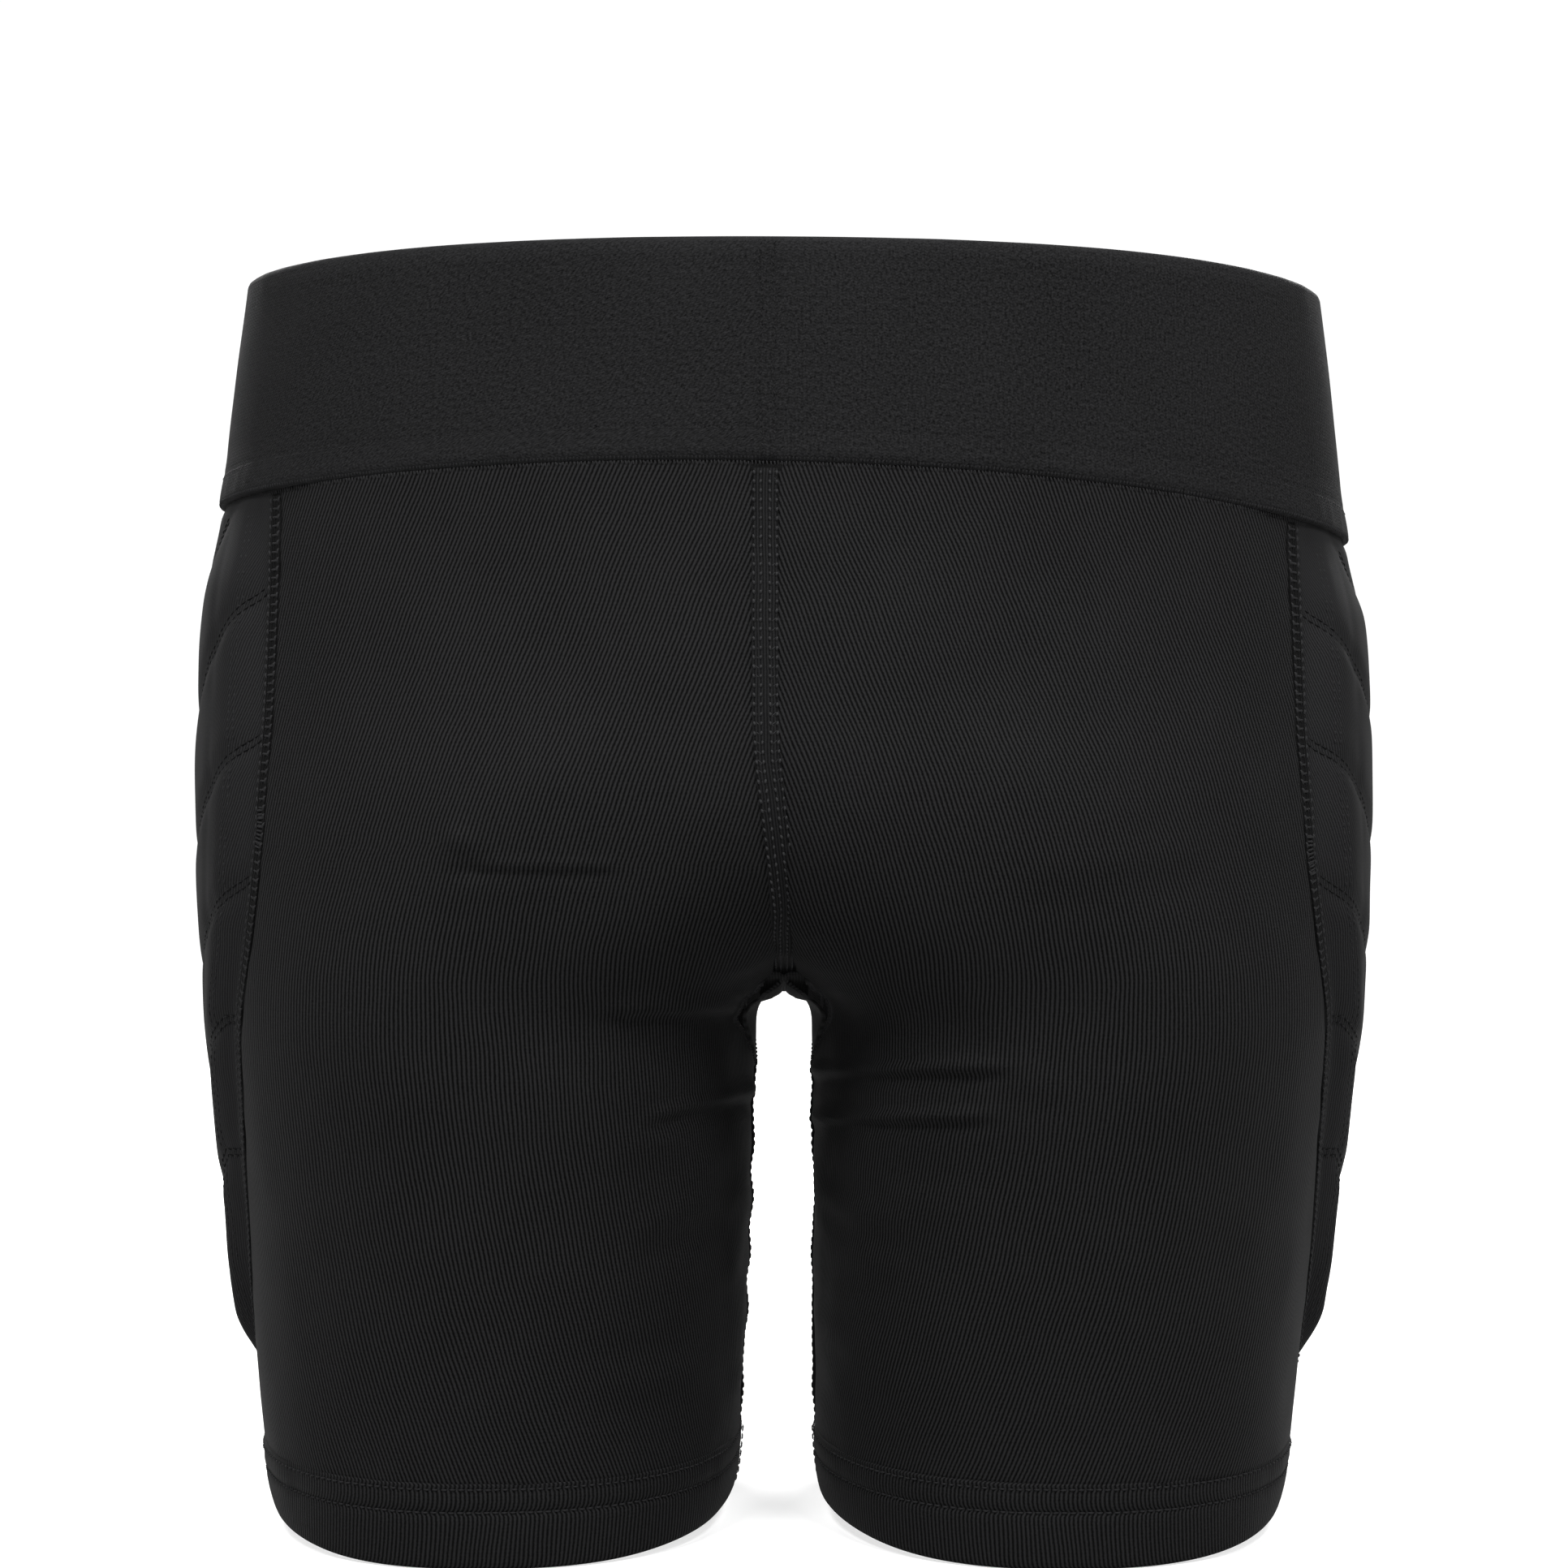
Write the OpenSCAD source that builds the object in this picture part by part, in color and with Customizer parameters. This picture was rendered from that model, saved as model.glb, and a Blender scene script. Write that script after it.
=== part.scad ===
// Padded impact shorts: stretch knit shorts with a wide elastic waistband and a
// quilted foam pad over each hip and thigh.
// The wearer faces +Y, the wearer's right is +X, +Z is up. The origin is the
// middle of the bottom of the bounding box, on the hem plane.

/* [Waistband] */
// Height of the waist rim above the hem plane
total_h = 392; // [386:1:400]
// Height of the elastic band at the centre back
band_h = 66; // [60:1:70]
// How much lower the band's bottom edge sits at the sides
band_dip = 10; // [4:1:14]
// Thickness of the elastic band
band_t = 2.4; // [1.6:0.2:3]
// Half width of the body at the waist rim
waist_half_w = 169.2; // [165:0.1:178]
// Half depth of the body at the waist rim
waist_half_d = 104; // [98:1:110]
// Height of the topstitch line above the band's bottom edge
topstitch_up = 9; // [7:1:12]

/* [Seat] */
// Half width of the body at the hips, under the pads
hip_half_w = 178; // [176:1:184]
// How far the seat reaches back
seat_back = 122; // [114:1:126]
// How far the belly reaches forward
belly_front = 105; // [98:1:110]
// Squareness of the body and leg sections, 2 is an ellipse
section_n = 2.25; // [2.1:0.05:2.4]
// How fast the two legs merge above the crotch
merge_power = 2.5; // [2.2:0.1:2.8]

/* [Legs] */
// Height of the crotch above the hem plane
crotch_z = 167; // [162:1:172]
// Half width of the shorts at the hem
hem_half_w = 160; // [158:0.5:168]
// Half of the gap between the legs at the hem
hem_gap = 14; // [9:0.1:16]
// Half of the gap between the legs just under the crotch
crotch_gap = 9.6; // [7:0.1:11]
// How far each leg opening reaches back
hem_back = 90; // [86:1:94]
// How far each leg opening reaches forward
hem_front = 87; // [83:1:92]
// Height of the folded hem
hem_h = 25.5; // [25:0.5:28]
// Thickness of the folded hem
hem_t = 2.2; // [1.6:0.2:2.6]
// Height of the lower row of hem stitches
hem_row_1 = 17; // [14:1:19]
// Distance between the two rows of hem stitches
hem_row_gap = 7.3; // [5:0.1:7.5]

/* [Side pads] */
// Height of the pad's lower tip
pad_tip_z = 44; // [44:1:54]
// Half width of the pad at its widest, as an angle round the leg
pad_angle = 35; // [30:1:38]
// Thickness of the foam
foam_t = 6; // [4:0.5:7]
// Vertical distance from one quilted chevron to the next
quilt_pitch = 42.6; // [41:0.1:44]
// How far each chevron drops from the seam to the middle of the side
quilt_drop = 38; // [32:1:40]
// Height at which the first chevron line meets the seam
quilt_top = 322; // [320:0.5:323]
// Width of the stitched channel between foam blocks
channel_w = 6; // [4:0.5:8]

/* [Fabric] */
// Thickness of the stretch knit
knit_t = 1.2; // [0.8:0.1:1.4]
// Thickness of the pad's outer cover
cover_t = 1.2; // [0.8:0.1:1.4]
// Thickness of the lining behind the foam
lining_t = 0.8; // [0.6:0.1:0.9]
// Half width of the centre back and centre front seams
centre_seam_hw = 3.8; // [2.6:0.1:4.2]
// Half width of the seams beside the pads
side_seam_hw = 2.65; // [2:0.05:3]
// Half width of the inseams
inseam_hw = 2.5; // [1.8:0.1:2.8]
// Half length of the crotch gusset, front to back
gusset_half_l = 57; // [50:1:60]
// How far the gusset reaches down each inner thigh
gusset_drop = 24; // [20:1:28]

/* [Detail] */
// Segments across each panel
panel_cols = 10; // [8:1:14]
// Segments round each half of the waistband
band_cols = 24; // [20:2:30]
// Segments round each hem
hem_cols = 36; // [30:2:44]

/* [Hidden] */

band_z = total_h - band_h;
gap = 0.5;              // clearance between neighbouring pieces
arch_h = 14;            // height of the rounded arch under the crotch
y_mid = 6.625;          // shift that centres the bounding box front to back
gusset_z0 = crotch_z - gusset_drop;
gusset_z1 = crotch_z + 3.2;
gusset_power = 0.85;    // curve of the gusset's outline
gusset_margin = 2.6;    // from the gusset's outline to the knit panels
panel_drop = 3.9;       // from the band's bottom edge to the panels' top edge
pad_round_h = 45;       // height over which the pad's lower tip rounds out
stitch_t = 0.6;         // thickness of raised stitching
seam_rise = 0.6;        // how far the centre and side seams stand above the knit
inseam_rise = 0.5;
gusset_seam_rise = 0.4;

BAND_COLOR = [0.09, 0.09, 0.095];
ATTACH_COLOR = [0.12, 0.12, 0.125];
JOIN_COLOR = [0.13, 0.13, 0.135];
LABEL_COLOR = [0.75, 0.75, 0.74];
BACK_COLOR = [0.105, 0.105, 0.11];
FRONT_COLOR = [0.1, 0.1, 0.105];
COVER_COLOR = [0.08, 0.08, 0.085];
HEM_COLOR = [0.095, 0.095, 0.1];
FOAM_COLOR = [0.3, 0.3, 0.31];
SEAM_COLOR = [0.15, 0.15, 0.155];    // centre and side seams
THREAD_COLOR = [0.14, 0.14, 0.145];  // topstitch, gusset seam and inseams
PALE_COLOR = [0.16, 0.16, 0.165];    // pad lining and hem stitches

// ---------- the body surface ----------
// Stations of the side, back and front outlines, as [height, distance from the middle]
SIDE = [[0, hem_half_w], [24, hem_half_w + 2.5], [68, hem_half_w + 6.4],
    [116, hem_half_w + 0.6 * (hip_half_w - hem_half_w)],
    [160, hem_half_w + 0.82 * (hip_half_w - hem_half_w)],
    [210, hip_half_w - 0.7], [250, hip_half_w], [290, hip_half_w - 0.4],
    [326, hip_half_w - 2], [360, waist_half_w + 3.5], [total_h, waist_half_w]];
BACK = [[0, hem_back - 1], [24, hem_back + 1], [68, hem_back + 6], [116, hem_back + 14.5],
    [150, hem_back + 22.5], [187, seat_back - 2.5], [225, seat_back], [270, seat_back - 4],
    [326, seat_back - 12], [total_h, waist_half_d]];
FRONT = [[0, hem_front], [24, hem_front + 1], [68, hem_front + 6], [116, hem_front + 11],
    [150, hem_front + 14], [187, belly_front - 2], [225, belly_front - 1],
    [270, belly_front], [326, belly_front + 1], [total_h, waist_half_d]];
// Stations of the pad's outline, as [height, half width in degrees]
PAD = [[pad_tip_z, pad_angle - 27], [79, pad_angle - 20.5], [132, pad_angle - 9],
    [193, pad_angle], [240, pad_angle - 0.5], [280, pad_angle - 2.5],
    [total_h, pad_angle - 6]];

function clamp01(t) = min(1, max(0, t));
function smooth(t) = let (s = clamp01(t)) s * s * (3 - 2 * s);
function station(table, z, i = 0) =
    (i >= len(table) - 2 || z < table[i + 1][0]) ? i : station(table, z, i + 1);
function slope(table, i) = let (a = max(0, i - 1), b = min(len(table) - 1, i + 1))
    (table[b][1] - table[a][1]) / (table[b][0] - table[a][0]);
// Smooth cubic curve through the stations
function profile(table, z) =
    let (i = station(table, z), h = table[i + 1][0] - table[i][0],
        s = clamp01((z - table[i][0]) / h), s2 = s * s, s3 = s2 * s)
    (2 * s3 - 3 * s2 + 1) * table[i][1] + (s3 - 2 * s2 + s) * h * slope(table, i)
    + (3 * s2 - 2 * s3) * table[i + 1][1] + (s3 - s2) * h * slope(table, i + 1);

// How far the legs are merged: 1 at the crotch, 0 at the waistband
function merge(z) = pow(1 - clamp01((z - crotch_z) / (band_z - crotch_z)), merge_power);
// Half of the gap between the legs, rounded into an arch at the crotch
function leg_gap(z) = let (depth = max(0, crotch_z - z), k = 1 - min(depth, arch_h) / arch_h)
    (1 - k * k) * (crotch_gap + (hem_gap - crotch_gap) * depth / crotch_z);
// Section of the right half at height z: [centre x, centre y, half width, half depth]
function section(z) =
    let (side = profile(SIDE, z), back = profile(BACK, z), front = profile(FRONT, z),
        q = merge(z), inner = leg_gap(z), merged = z >= crotch_z)
    [merged ? q * side / (1 + q) : (side + inner) / 2, (front - back) / 2 + y_mid,
        merged ? side / (1 + q) : (side - inner) / 2, (front + back) / 2];
function squared(c) = sign(c) * pow(abs(c), 2 / section_n);
// Height of the unit section curve at distance t from its centre
function curve_at(t) = pow(1 - pow(t, section_n), 1 / section_n);
// Point on the right half. Angle 0 is the side, -90 the back, 90 the front,
// 180 the inner thigh
function base(a, z) = let (s = section(z))
    [s[0] + s[2] * squared(cos(a)), s[1] + s[3] * squared(sin(a)), z];
normal_da = 0.6;  // half step in angle and height that sets the normal
normal_dz = 0.8;
function unit(v) = v / norm(v);
function normal(a, z) = unit(cross(base(a + normal_da, z) - base(a - normal_da, z),
    base(a, z + normal_dz) - base(a, z - normal_dz)));
// Point lifted off the surface
function skin(a, z, lift) = base(a, z) + lift * normal(a, z);
// Degrees round the section that hold a given length
function arc(a, z, length) = 2 * length / norm(base(a + 1, z) - base(a - 1, z));

// ---------- edges of the panels ----------
// Angle at which the section reaches distance x from the middle plane
function angle_at_x(z, x) = let (s = section(z), r = (s[0] - x) / s[2])
    r >= 1 ? 180 : acos(-sign(r) * pow(abs(r), section_n / 2));
// Angle at which the inner thigh is a distance y from its middle
function angle_at_y(z, y) = 180 - asin(pow(min(1, y / section(z)[3]), section_n / 2));
// Half length of the gusset's outline at height z
function gusset_y(z) = inseam_hw + (gusset_half_l - inseam_hw)
    * pow(clamp01((z - gusset_z0) / (gusset_z1 - gusset_z0)), gusset_power);
// The centre seams narrow, and their clearance grows, towards the gusset
function centre_hw(z) = centre_seam_hw - 1.1 * (1 - smooth((z - gusset_z1) / 40));
function centre_x(z) = centre_hw(z) + gap + 0.6 * (1 - smooth((z - gusset_z1) / 45));
// Inner edge of the knit panels
function inner_edge(z) = min(angle_at_x(z, centre_x(z)),
    angle_at_y(z, z < gusset_z0 ? inseam_hw + gap : gusset_y(z) + gusset_margin));
// Middle of the seam beside the pad
function pad_half(z) = z <= pad_tip_z ? 0 :
    profile(PAD, z) * sqrt(1 - pow(1 - min(1, (z - pad_tip_z) / pad_round_h), 2));
// Angle at a distance outward from the middle of that seam
function pad_offset(z, distance) = let (a = pad_half(z)) a + arc(a, z, distance);
seam_clear = side_seam_hw + gap;
function pad_edge(z) = pad_offset(z, -seam_clear);

// ---------- heights ----------
function band_low(a, z) = band_z - band_dip * pow(abs(base(a, z)[0]) / hip_half_w, 2);
// Top edge of the panels and pads
function top_of(a) = band_low(a, band_z - 4) - panel_drop;
// Common rows, denser at the pad's tip and at the crotch, so that neighbours match
row_steps = 9;
panel_z0 = hem_h + gap;
LOW_ROWS = concat([panel_z0, (panel_z0 + pad_tip_z) / 2],
    [for (k = [0 : row_steps - 1]) pad_tip_z + (crotch_z - pad_tip_z) * pow(k / row_steps, 2)],
    [for (d = [18, 12, 6, 0]) crotch_z - d]);
function rows(top) = concat(LOW_ROWS,
    [for (k = [1 : row_steps]) crotch_z + (top - crotch_z) * pow(k / row_steps, 2)]);
function rows_from(top, z0) = concat([z0], [for (z = rows(top)) if (z > z0 + 0.3) z]);

// ---------- solids ----------
// A quad as two triangles
function quad(a, b, c, d) = [[a, b, c], [a, c, d]];
// A closed sheet between two lifts. grid(lift) gives rows of points;
// ring joins the last column to the first
module slab(grid, inner, outer, ring = false) {
    outside = grid(outer);
    inside = grid(inner);
    n = len(outside);
    m = len(outside[0]);
    cols = ring ? m : m - 1;
    function o(i, j) = i * m + (j % m);
    function q(i, j) = n * m + o(i, j);
    polyhedron(
        points = concat([for (r = outside) each r], [for (r = inside) each r]),
        faces = concat(
            [for (i = [0 : n - 2], j = [0 : cols - 1]) each concat(
                quad(o(i, j), o(i + 1, j), o(i + 1, j + 1), o(i, j + 1)),
                quad(q(i, j), q(i, j + 1), q(i + 1, j + 1), q(i + 1, j)))],
            [for (j = [0 : cols - 1]) each concat(
                quad(o(0, j), o(0, j + 1), q(0, j + 1), q(0, j)),
                quad(o(n - 1, j + 1), o(n - 1, j), q(n - 1, j), q(n - 1, j + 1)))],
            ring ? [] : [for (i = [0 : n - 2]) each concat(
                quad(o(i + 1, 0), o(i, 0), q(i, 0), q(i + 1, 0)),
                quad(o(i, m - 1), o(i + 1, m - 1), q(i + 1, m - 1), q(i, m - 1)))]));
}
// A piece of the right half. place(u, row) gives [angle, height]; inner and
// outer are lifts, each a number or a rule of (u, row)
module patch(us, count, place, inner, outer)
    slab(function(lift) [for (i = [0 : count - 1]) [for (u = us) let (p = place(u, i))
        skin(p[0], p[1], is_num(lift) ? lift : lift(u, i))]], inner, outer);
function even(n) = [for (j = [0 : n]) j / n];
// Column order that keeps the faces outward on the back (dir -1) or front (dir 1)
function ordered(dir, us) = dir < 0 ? us : [for (j = [len(us) - 1 : -1 : 0]) us[j]];
// Right side as built (1), or mirrored to the left (-1)
module on_side(side) if (side < 0) mirror([1, 0, 0]) children(); else children();

// ---------- waistband ----------
band_face = gap + band_t;
band_stitch = band_face + 0.4;  // lift of the stitches on the band

// Loop round the whole body. height is a rule of the angle
function body_loop(height, lift) =
    let (right = [for (j = [0 : band_cols])
        let (turn = -1 + 2 * j / band_cols, z = height(90 * turn),
            p = skin(turn * angle_at_x(z, 0), z, lift))
        abs(turn) == 1 ? [0, p[1], p[2]] : p])
    concat(right, [for (j = [band_cols - 1 : -1 : 1]) [-right[j][0], right[j][1], right[j][2]]]);
// Ring round the body. height is a rule of the angle and the share of the way up
module body_ring(steps, height, inner, outer)
    slab(function(lift) [for (v = [0 : steps]) body_loop(function(a) height(a, v / steps), lift)],
        inner, outer, ring = true);
// Ring of height h that follows the band's bottom edge
module edge_ring(up, h, inner, thick)
    body_ring(1, function(a, share) band_low(a, band_z) + up + h * share, inner, inner + thick);

module waistband() color(BAND_COLOR)
    body_ring(3, function(a, share) let (low = band_low(a, band_z)) low + (total_h - low) * share,
        gap, band_face);
module waistband_topstitch() color(THREAD_COLOR)
    edge_ring(up = topstitch_up, h = 0.9, inner = band_stitch, thick = stitch_t);
module waistband_attach_seam() color(ATTACH_COLOR)
    edge_ring(up = -3.4, h = 2.9, inner = 0, thick = 1.8);

// Point at distance x from the middle plane, on the back (dir -1) or front (dir 1)
function centre_point(dir, z, x, lift) = let (p = skin(dir * angle_at_x(z, abs(x)), z, lift))
    [x == 0 ? 0 : sign(x) * p[0], p[1], p[2]];
// Upright strip near the middle plane. xs(z) lists its columns
module centre_sheet(dir, zs, xs, inner, outer)
    slab(function(lift) [for (z = zs) [for (x = xs(z)) centre_point(dir, z, x, lift)]],
        inner, outer);

// Two bars just left of the centre back, above and below the topstitch
join_x = -4.9;
join_hw = 2.6;
join_row_h = 14;  // greatest height of one row
module join_bar(z0, z1) {
    n = ceil((z1 - z0) / join_row_h);
    centre_sheet(-1, [for (i = [0 : n]) z0 + (z1 - z0) * i / n],
        function(z) [join_x - join_hw, join_x + join_hw], band_stitch, band_stitch + stitch_t);
}
module waistband_join_seam() color(JOIN_COLOR) {
    join_bar(band_z + topstitch_up + 1.8, total_h - 0.6);
    join_bar(band_z + 0.8, band_z + topstitch_up - 0.8);
}

// Label inside the band, right of the centre back
LABEL_ANGLES = [-76, -72, -68];
LABEL_HEIGHTS = [342, 355, 368, 381];
module care_label() color(LABEL_COLOR)
    patch(LABEL_ANGLES, len(LABEL_HEIGHTS), function(u, i) [u, LABEL_HEIGHTS[i]], -0.5, 0.1);

// ---------- centre seams and gusset ----------
module centre_seam(dir) centre_sheet(dir, rows_from(band_z - panel_drop, gusset_z1 + 2.2),
    function(z) [for (s = [-1, 0, 1]) -dir * s * centre_hw(z)], 0, knit_t + seam_rise);
module centre_back_seam() color(SEAM_COLOR) centre_seam(-1);
module centre_front_seam() color(SEAM_COLOR) centre_seam(1);

gusset_end_gap = 6;      // from the gusset's outline to the cloth at each end
gusset_side_gap = 1.9;   // the same, along the sides
gusset_lift = 0.6;       // height of the cloth's lower edge above the outline
gusset_y_steps = 7;      // arches on each side of the middle one
gusset_arch_steps = 4;   // segments on each side of an arch

// Lower and upper heights of the arch across the crotch at distance y from its middle
function gusset_low(y) = gusset_z0 + (gusset_z1 - gusset_z0)
    * pow(clamp01((abs(y) + gusset_side_gap - inseam_hw) / (gusset_half_l - inseam_hw)),
        1 / gusset_power);
function gusset_top(y) = crotch_z + (band_z - crotch_z)
    * (1 - pow(curve_at(min(1, abs(y) / section(crotch_z)[3])), 1 / merge_power));
function gusset_x(y, z) = let (s = section(z)) max(0, s[0] - s[2] * curve_at(abs(y) / s[3]));
// Point on the arch, f runs from 1 on the right thigh to -1 on the left
function gusset_point(y, f, lift) =
    let (z0 = gusset_low(y) + gusset_lift, z1 = gusset_top(y),
        z = z0 + (z1 - z0) * sin(90 * (1 - abs(f))))
    [sign(f) * (gusset_x(y, z) - lift * sin(90 * abs(f))), y + section(crotch_z)[1],
        z - lift * cos(90 * f)];
module crotch_gusset() color(FRONT_COLOR)
    slab(function(lift) [for (k = [-gusset_y_steps : gusset_y_steps])
        [for (j = [gusset_arch_steps : -1 : -gusset_arch_steps])
            gusset_point((gusset_half_l - gusset_end_gap) * k / gusset_y_steps,
                j / gusset_arch_steps, lift)]], 0, knit_t);

gusset_seam_hw = 1.3;
gusset_rows_top = 300;  // top height that spaces the seam's rows above the crotch
GUSSET_ROWS = concat([gusset_z0 + 1.6],
    [for (z = rows(gusset_rows_top)) if (z > gusset_z0 + 4 && z < gusset_z1 - 1) z]);
function gusset_angle(z, shift) = angle_at_y(z, max(0.4, gusset_y(z) + shift));
module gusset_seam() color(THREAD_COLOR)
    for (side = [-1, 1], dir = [-1, 1]) on_side(side)
        patch(ordered(dir, even(1)), len(GUSSET_ROWS),
            function(u, i) let (z = GUSSET_ROWS[i])
                [dir * gusset_angle(z, gusset_seam_hw * (2 * u - 1)), z],
            0, knit_t + gusset_seam_rise);

// ---------- knit panels ----------
// dir -1 is the back, dir 1 the front; u runs from the inner edge to the pad
module knit_panel(dir)
    patch(ordered(dir, even(panel_cols)), len(LOW_ROWS) + row_steps,
        function(u, i) let (z = rows(top_of(dir * (90 - 55 * u)))[i],
            a = inner_edge(z), b = pad_offset(z, seam_clear)) [dir * (a + (b - a) * u), z],
        0, knit_t);

// ---------- side pads ----------
// Columns across the pad, as shares of its width
PAD_COLUMNS = [0, 0.04, 0.09, 0.17, 0.28, 0.39, 0.5, 0.61, 0.72, 0.83, 0.91, 0.96, 1];
PAD_ROWS = rows_from(top_of(0), pad_tip_z + 7);
foam_lift = lining_t + 0.8;
foam_top = top_of(0) - 3;
foam_tip_gap = 12;    // from the pad's tip to the lowest foam block
foam_edge = 0.8;      // thickness of a block at its top and bottom, as a share
foam_rows = 3;
wedge_margin = 0.22;  // share of the width left free on each side of the top wedge

// Foam thickness, less near the waistband
function foam_thick(z) = foam_t * (0.55 + 0.45 * smooth((band_z - band_dip - z) / 45));
// From the pad's edge to the foam
function foam_inset(z) = 6 + 7.5 * smooth((z - 60) / 70);
// Distance from the pad's nearer edge
function edge_distance(u, z) = min(u, 1 - u) * 2 * pad_edge(z) / arc(0, z, 1);
// Lift of the cover's inner face, rising from the edges over the foam
function cover_lift(u, z) = max(lining_t + 0.3,
    0.2 + smooth(edge_distance(u, z) / (foam_inset(z) - 2)) * (2.2 + foam_thick(z)));

module pad_sheet(inner, outer)
    patch(PAD_COLUMNS, len(PAD_ROWS),
        function(u, i) let (z = PAD_ROWS[i]) [(2 * u - 1) * pad_edge(z), z], inner, outer);
module side_cover() pad_sheet(function(u, i) cover_lift(u, PAD_ROWS[i]),
    function(u, i) cover_lift(u, PAD_ROWS[i]) + cover_t);
module pad_lining() pad_sheet(0, lining_t);

// Foam block k lies between chevron lines k-2 and k-1; block 1 is the top wedge,
// block 7 the tip
function chevron(k, u) = quilt_top - quilt_pitch * k - quilt_drop * (1 - abs(2 * u - 1));
function foam_hi(k, u) = k == 1 ? foam_top : chevron(k - 2, u) - channel_w / 2;
function foam_lo(k, u) = k == 7 ? pad_tip_z + foam_tip_gap : chevron(k - 1, u) + channel_w / 2;
function foam_z(k, u, i) = foam_lo(k, u) + (foam_hi(k, u) - foam_lo(k, u)) * i / foam_rows;
function foam_angle(z) = pad_offset(z, -(seam_clear + foam_inset(z)));
module foam_block(k)
    patch(k == 1 ? [for (u = even(6)) wedge_margin + (1 - 2 * wedge_margin) * u] : even(8),
        foam_rows + 1,
        function(u, i) let (z = min(foam_top, foam_z(k, u, i))) [(2 * u - 1) * foam_angle(z), z],
        foam_lift,
        function(u, i) foam_lift + foam_thick(foam_z(k, u, i))
            * ((i == 0 || i == foam_rows) ? foam_edge : 1));

// ---------- leg seams and hems ----------
// Seams beside the pad; the back one runs on below the tip to the hem
seam_top_angle = 34;
module side_seam(dir) {
    top = top_of(dir * seam_top_angle) - 0.5;
    zs = dir < 0 ? rows(top) : rows_from(top, pad_tip_z + 2.6);
    patch([-1, 0, 1], len(zs),
        function(u, i) let (z = zs[i], a = dir * pad_half(z)) [a + u * arc(a, z, side_seam_hw), z],
        0, knit_t + seam_rise);
}
module inseam_seam() {
    zs = [for (z = LOW_ROWS) if (z < gusset_z0) z];
    patch([-1, 0, 1], len(zs),
        function(u, i) [180 + u * (180 - angle_at_y(zs[i], inseam_hw)), zs[i]],
        0, knit_t + inseam_rise);
}

hem_stitch_lift = hem_t + 0.35;
hem_stitch_hh = 0.4;  // half height of a row of hem stitches
function leg_loop(z, lift) = [for (j = [0 : hem_cols - 1])
    let (p = skin(-180 + 360 * (j + 0.5) / hem_cols, z, lift)) [p[0], p[1], z]];
module leg_ring(zs, inner, outer)
    slab(function(lift) [for (z = zs) leg_loop(z, lift)], inner, outer, ring = true);
module hem_band() leg_ring([0, hem_h / 2, hem_h], 0, hem_t);
module hem_stitch() for (z = [hem_row_1, hem_row_1 + hem_row_gap])
    leg_ring([z - hem_stitch_hh, z + hem_stitch_hh], hem_stitch_lift, hem_stitch_lift + stitch_t);

// ---------- left and right nodes ----------
module left_back_panel() color(BACK_COLOR) on_side(-1) knit_panel(-1);
module left_front_panel() color(FRONT_COLOR) on_side(-1) knit_panel(1);
module left_side_cover() color(COVER_COLOR) on_side(-1) side_cover();
module left_pad_lining() color(PALE_COLOR) on_side(-1) pad_lining();
module left_foam_1() color(FOAM_COLOR) on_side(-1) foam_block(1);
module left_foam_2() color(FOAM_COLOR) on_side(-1) foam_block(2);
module left_foam_3() color(FOAM_COLOR) on_side(-1) foam_block(3);
module left_foam_4() color(FOAM_COLOR) on_side(-1) foam_block(4);
module left_foam_5() color(FOAM_COLOR) on_side(-1) foam_block(5);
module left_foam_6() color(FOAM_COLOR) on_side(-1) foam_block(6);
module left_foam_7() color(FOAM_COLOR) on_side(-1) foam_block(7);
module left_side_seam_back() color(SEAM_COLOR) on_side(-1) side_seam(-1);
module left_side_seam_front() color(SEAM_COLOR) on_side(-1) side_seam(1);
module left_inseam_seam() color(THREAD_COLOR) on_side(-1) inseam_seam();
module left_hem_band() color(HEM_COLOR) on_side(-1) hem_band();
module left_hem_stitch() color(PALE_COLOR) on_side(-1) hem_stitch();
module right_back_panel() color(BACK_COLOR) on_side(1) knit_panel(-1);
module right_front_panel() color(FRONT_COLOR) on_side(1) knit_panel(1);
module right_side_cover() color(COVER_COLOR) on_side(1) side_cover();
module right_pad_lining() color(PALE_COLOR) on_side(1) pad_lining();
module right_foam_1() color(FOAM_COLOR) on_side(1) foam_block(1);
module right_foam_2() color(FOAM_COLOR) on_side(1) foam_block(2);
module right_foam_3() color(FOAM_COLOR) on_side(1) foam_block(3);
module right_foam_4() color(FOAM_COLOR) on_side(1) foam_block(4);
module right_foam_5() color(FOAM_COLOR) on_side(1) foam_block(5);
module right_foam_6() color(FOAM_COLOR) on_side(1) foam_block(6);
module right_foam_7() color(FOAM_COLOR) on_side(1) foam_block(7);
module right_side_seam_back() color(SEAM_COLOR) on_side(1) side_seam(-1);
module right_side_seam_front() color(SEAM_COLOR) on_side(1) side_seam(1);
module right_inseam_seam() color(THREAD_COLOR) on_side(1) inseam_seam();
module right_hem_band() color(HEM_COLOR) on_side(1) hem_band();
module right_hem_stitch() color(PALE_COLOR) on_side(1) hem_stitch();

waistband();
waistband_join_seam();
waistband_topstitch();
waistband_attach_seam();
care_label();
centre_back_seam();
centre_front_seam();
crotch_gusset();
gusset_seam();
left_back_panel();
left_front_panel();
left_side_cover();
left_pad_lining();
left_foam_1();
left_foam_2();
left_foam_3();
left_foam_4();
left_foam_5();
left_foam_6();
left_foam_7();
left_side_seam_back();
left_side_seam_front();
left_inseam_seam();
left_hem_band();
left_hem_stitch();
right_back_panel();
right_front_panel();
right_side_cover();
right_pad_lining();
right_foam_1();
right_foam_2();
right_foam_3();
right_foam_4();
right_foam_5();
right_foam_6();
right_foam_7();
right_side_seam_back();
right_side_seam_front();
right_inseam_seam();
right_hem_band();
right_hem_stitch();
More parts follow.
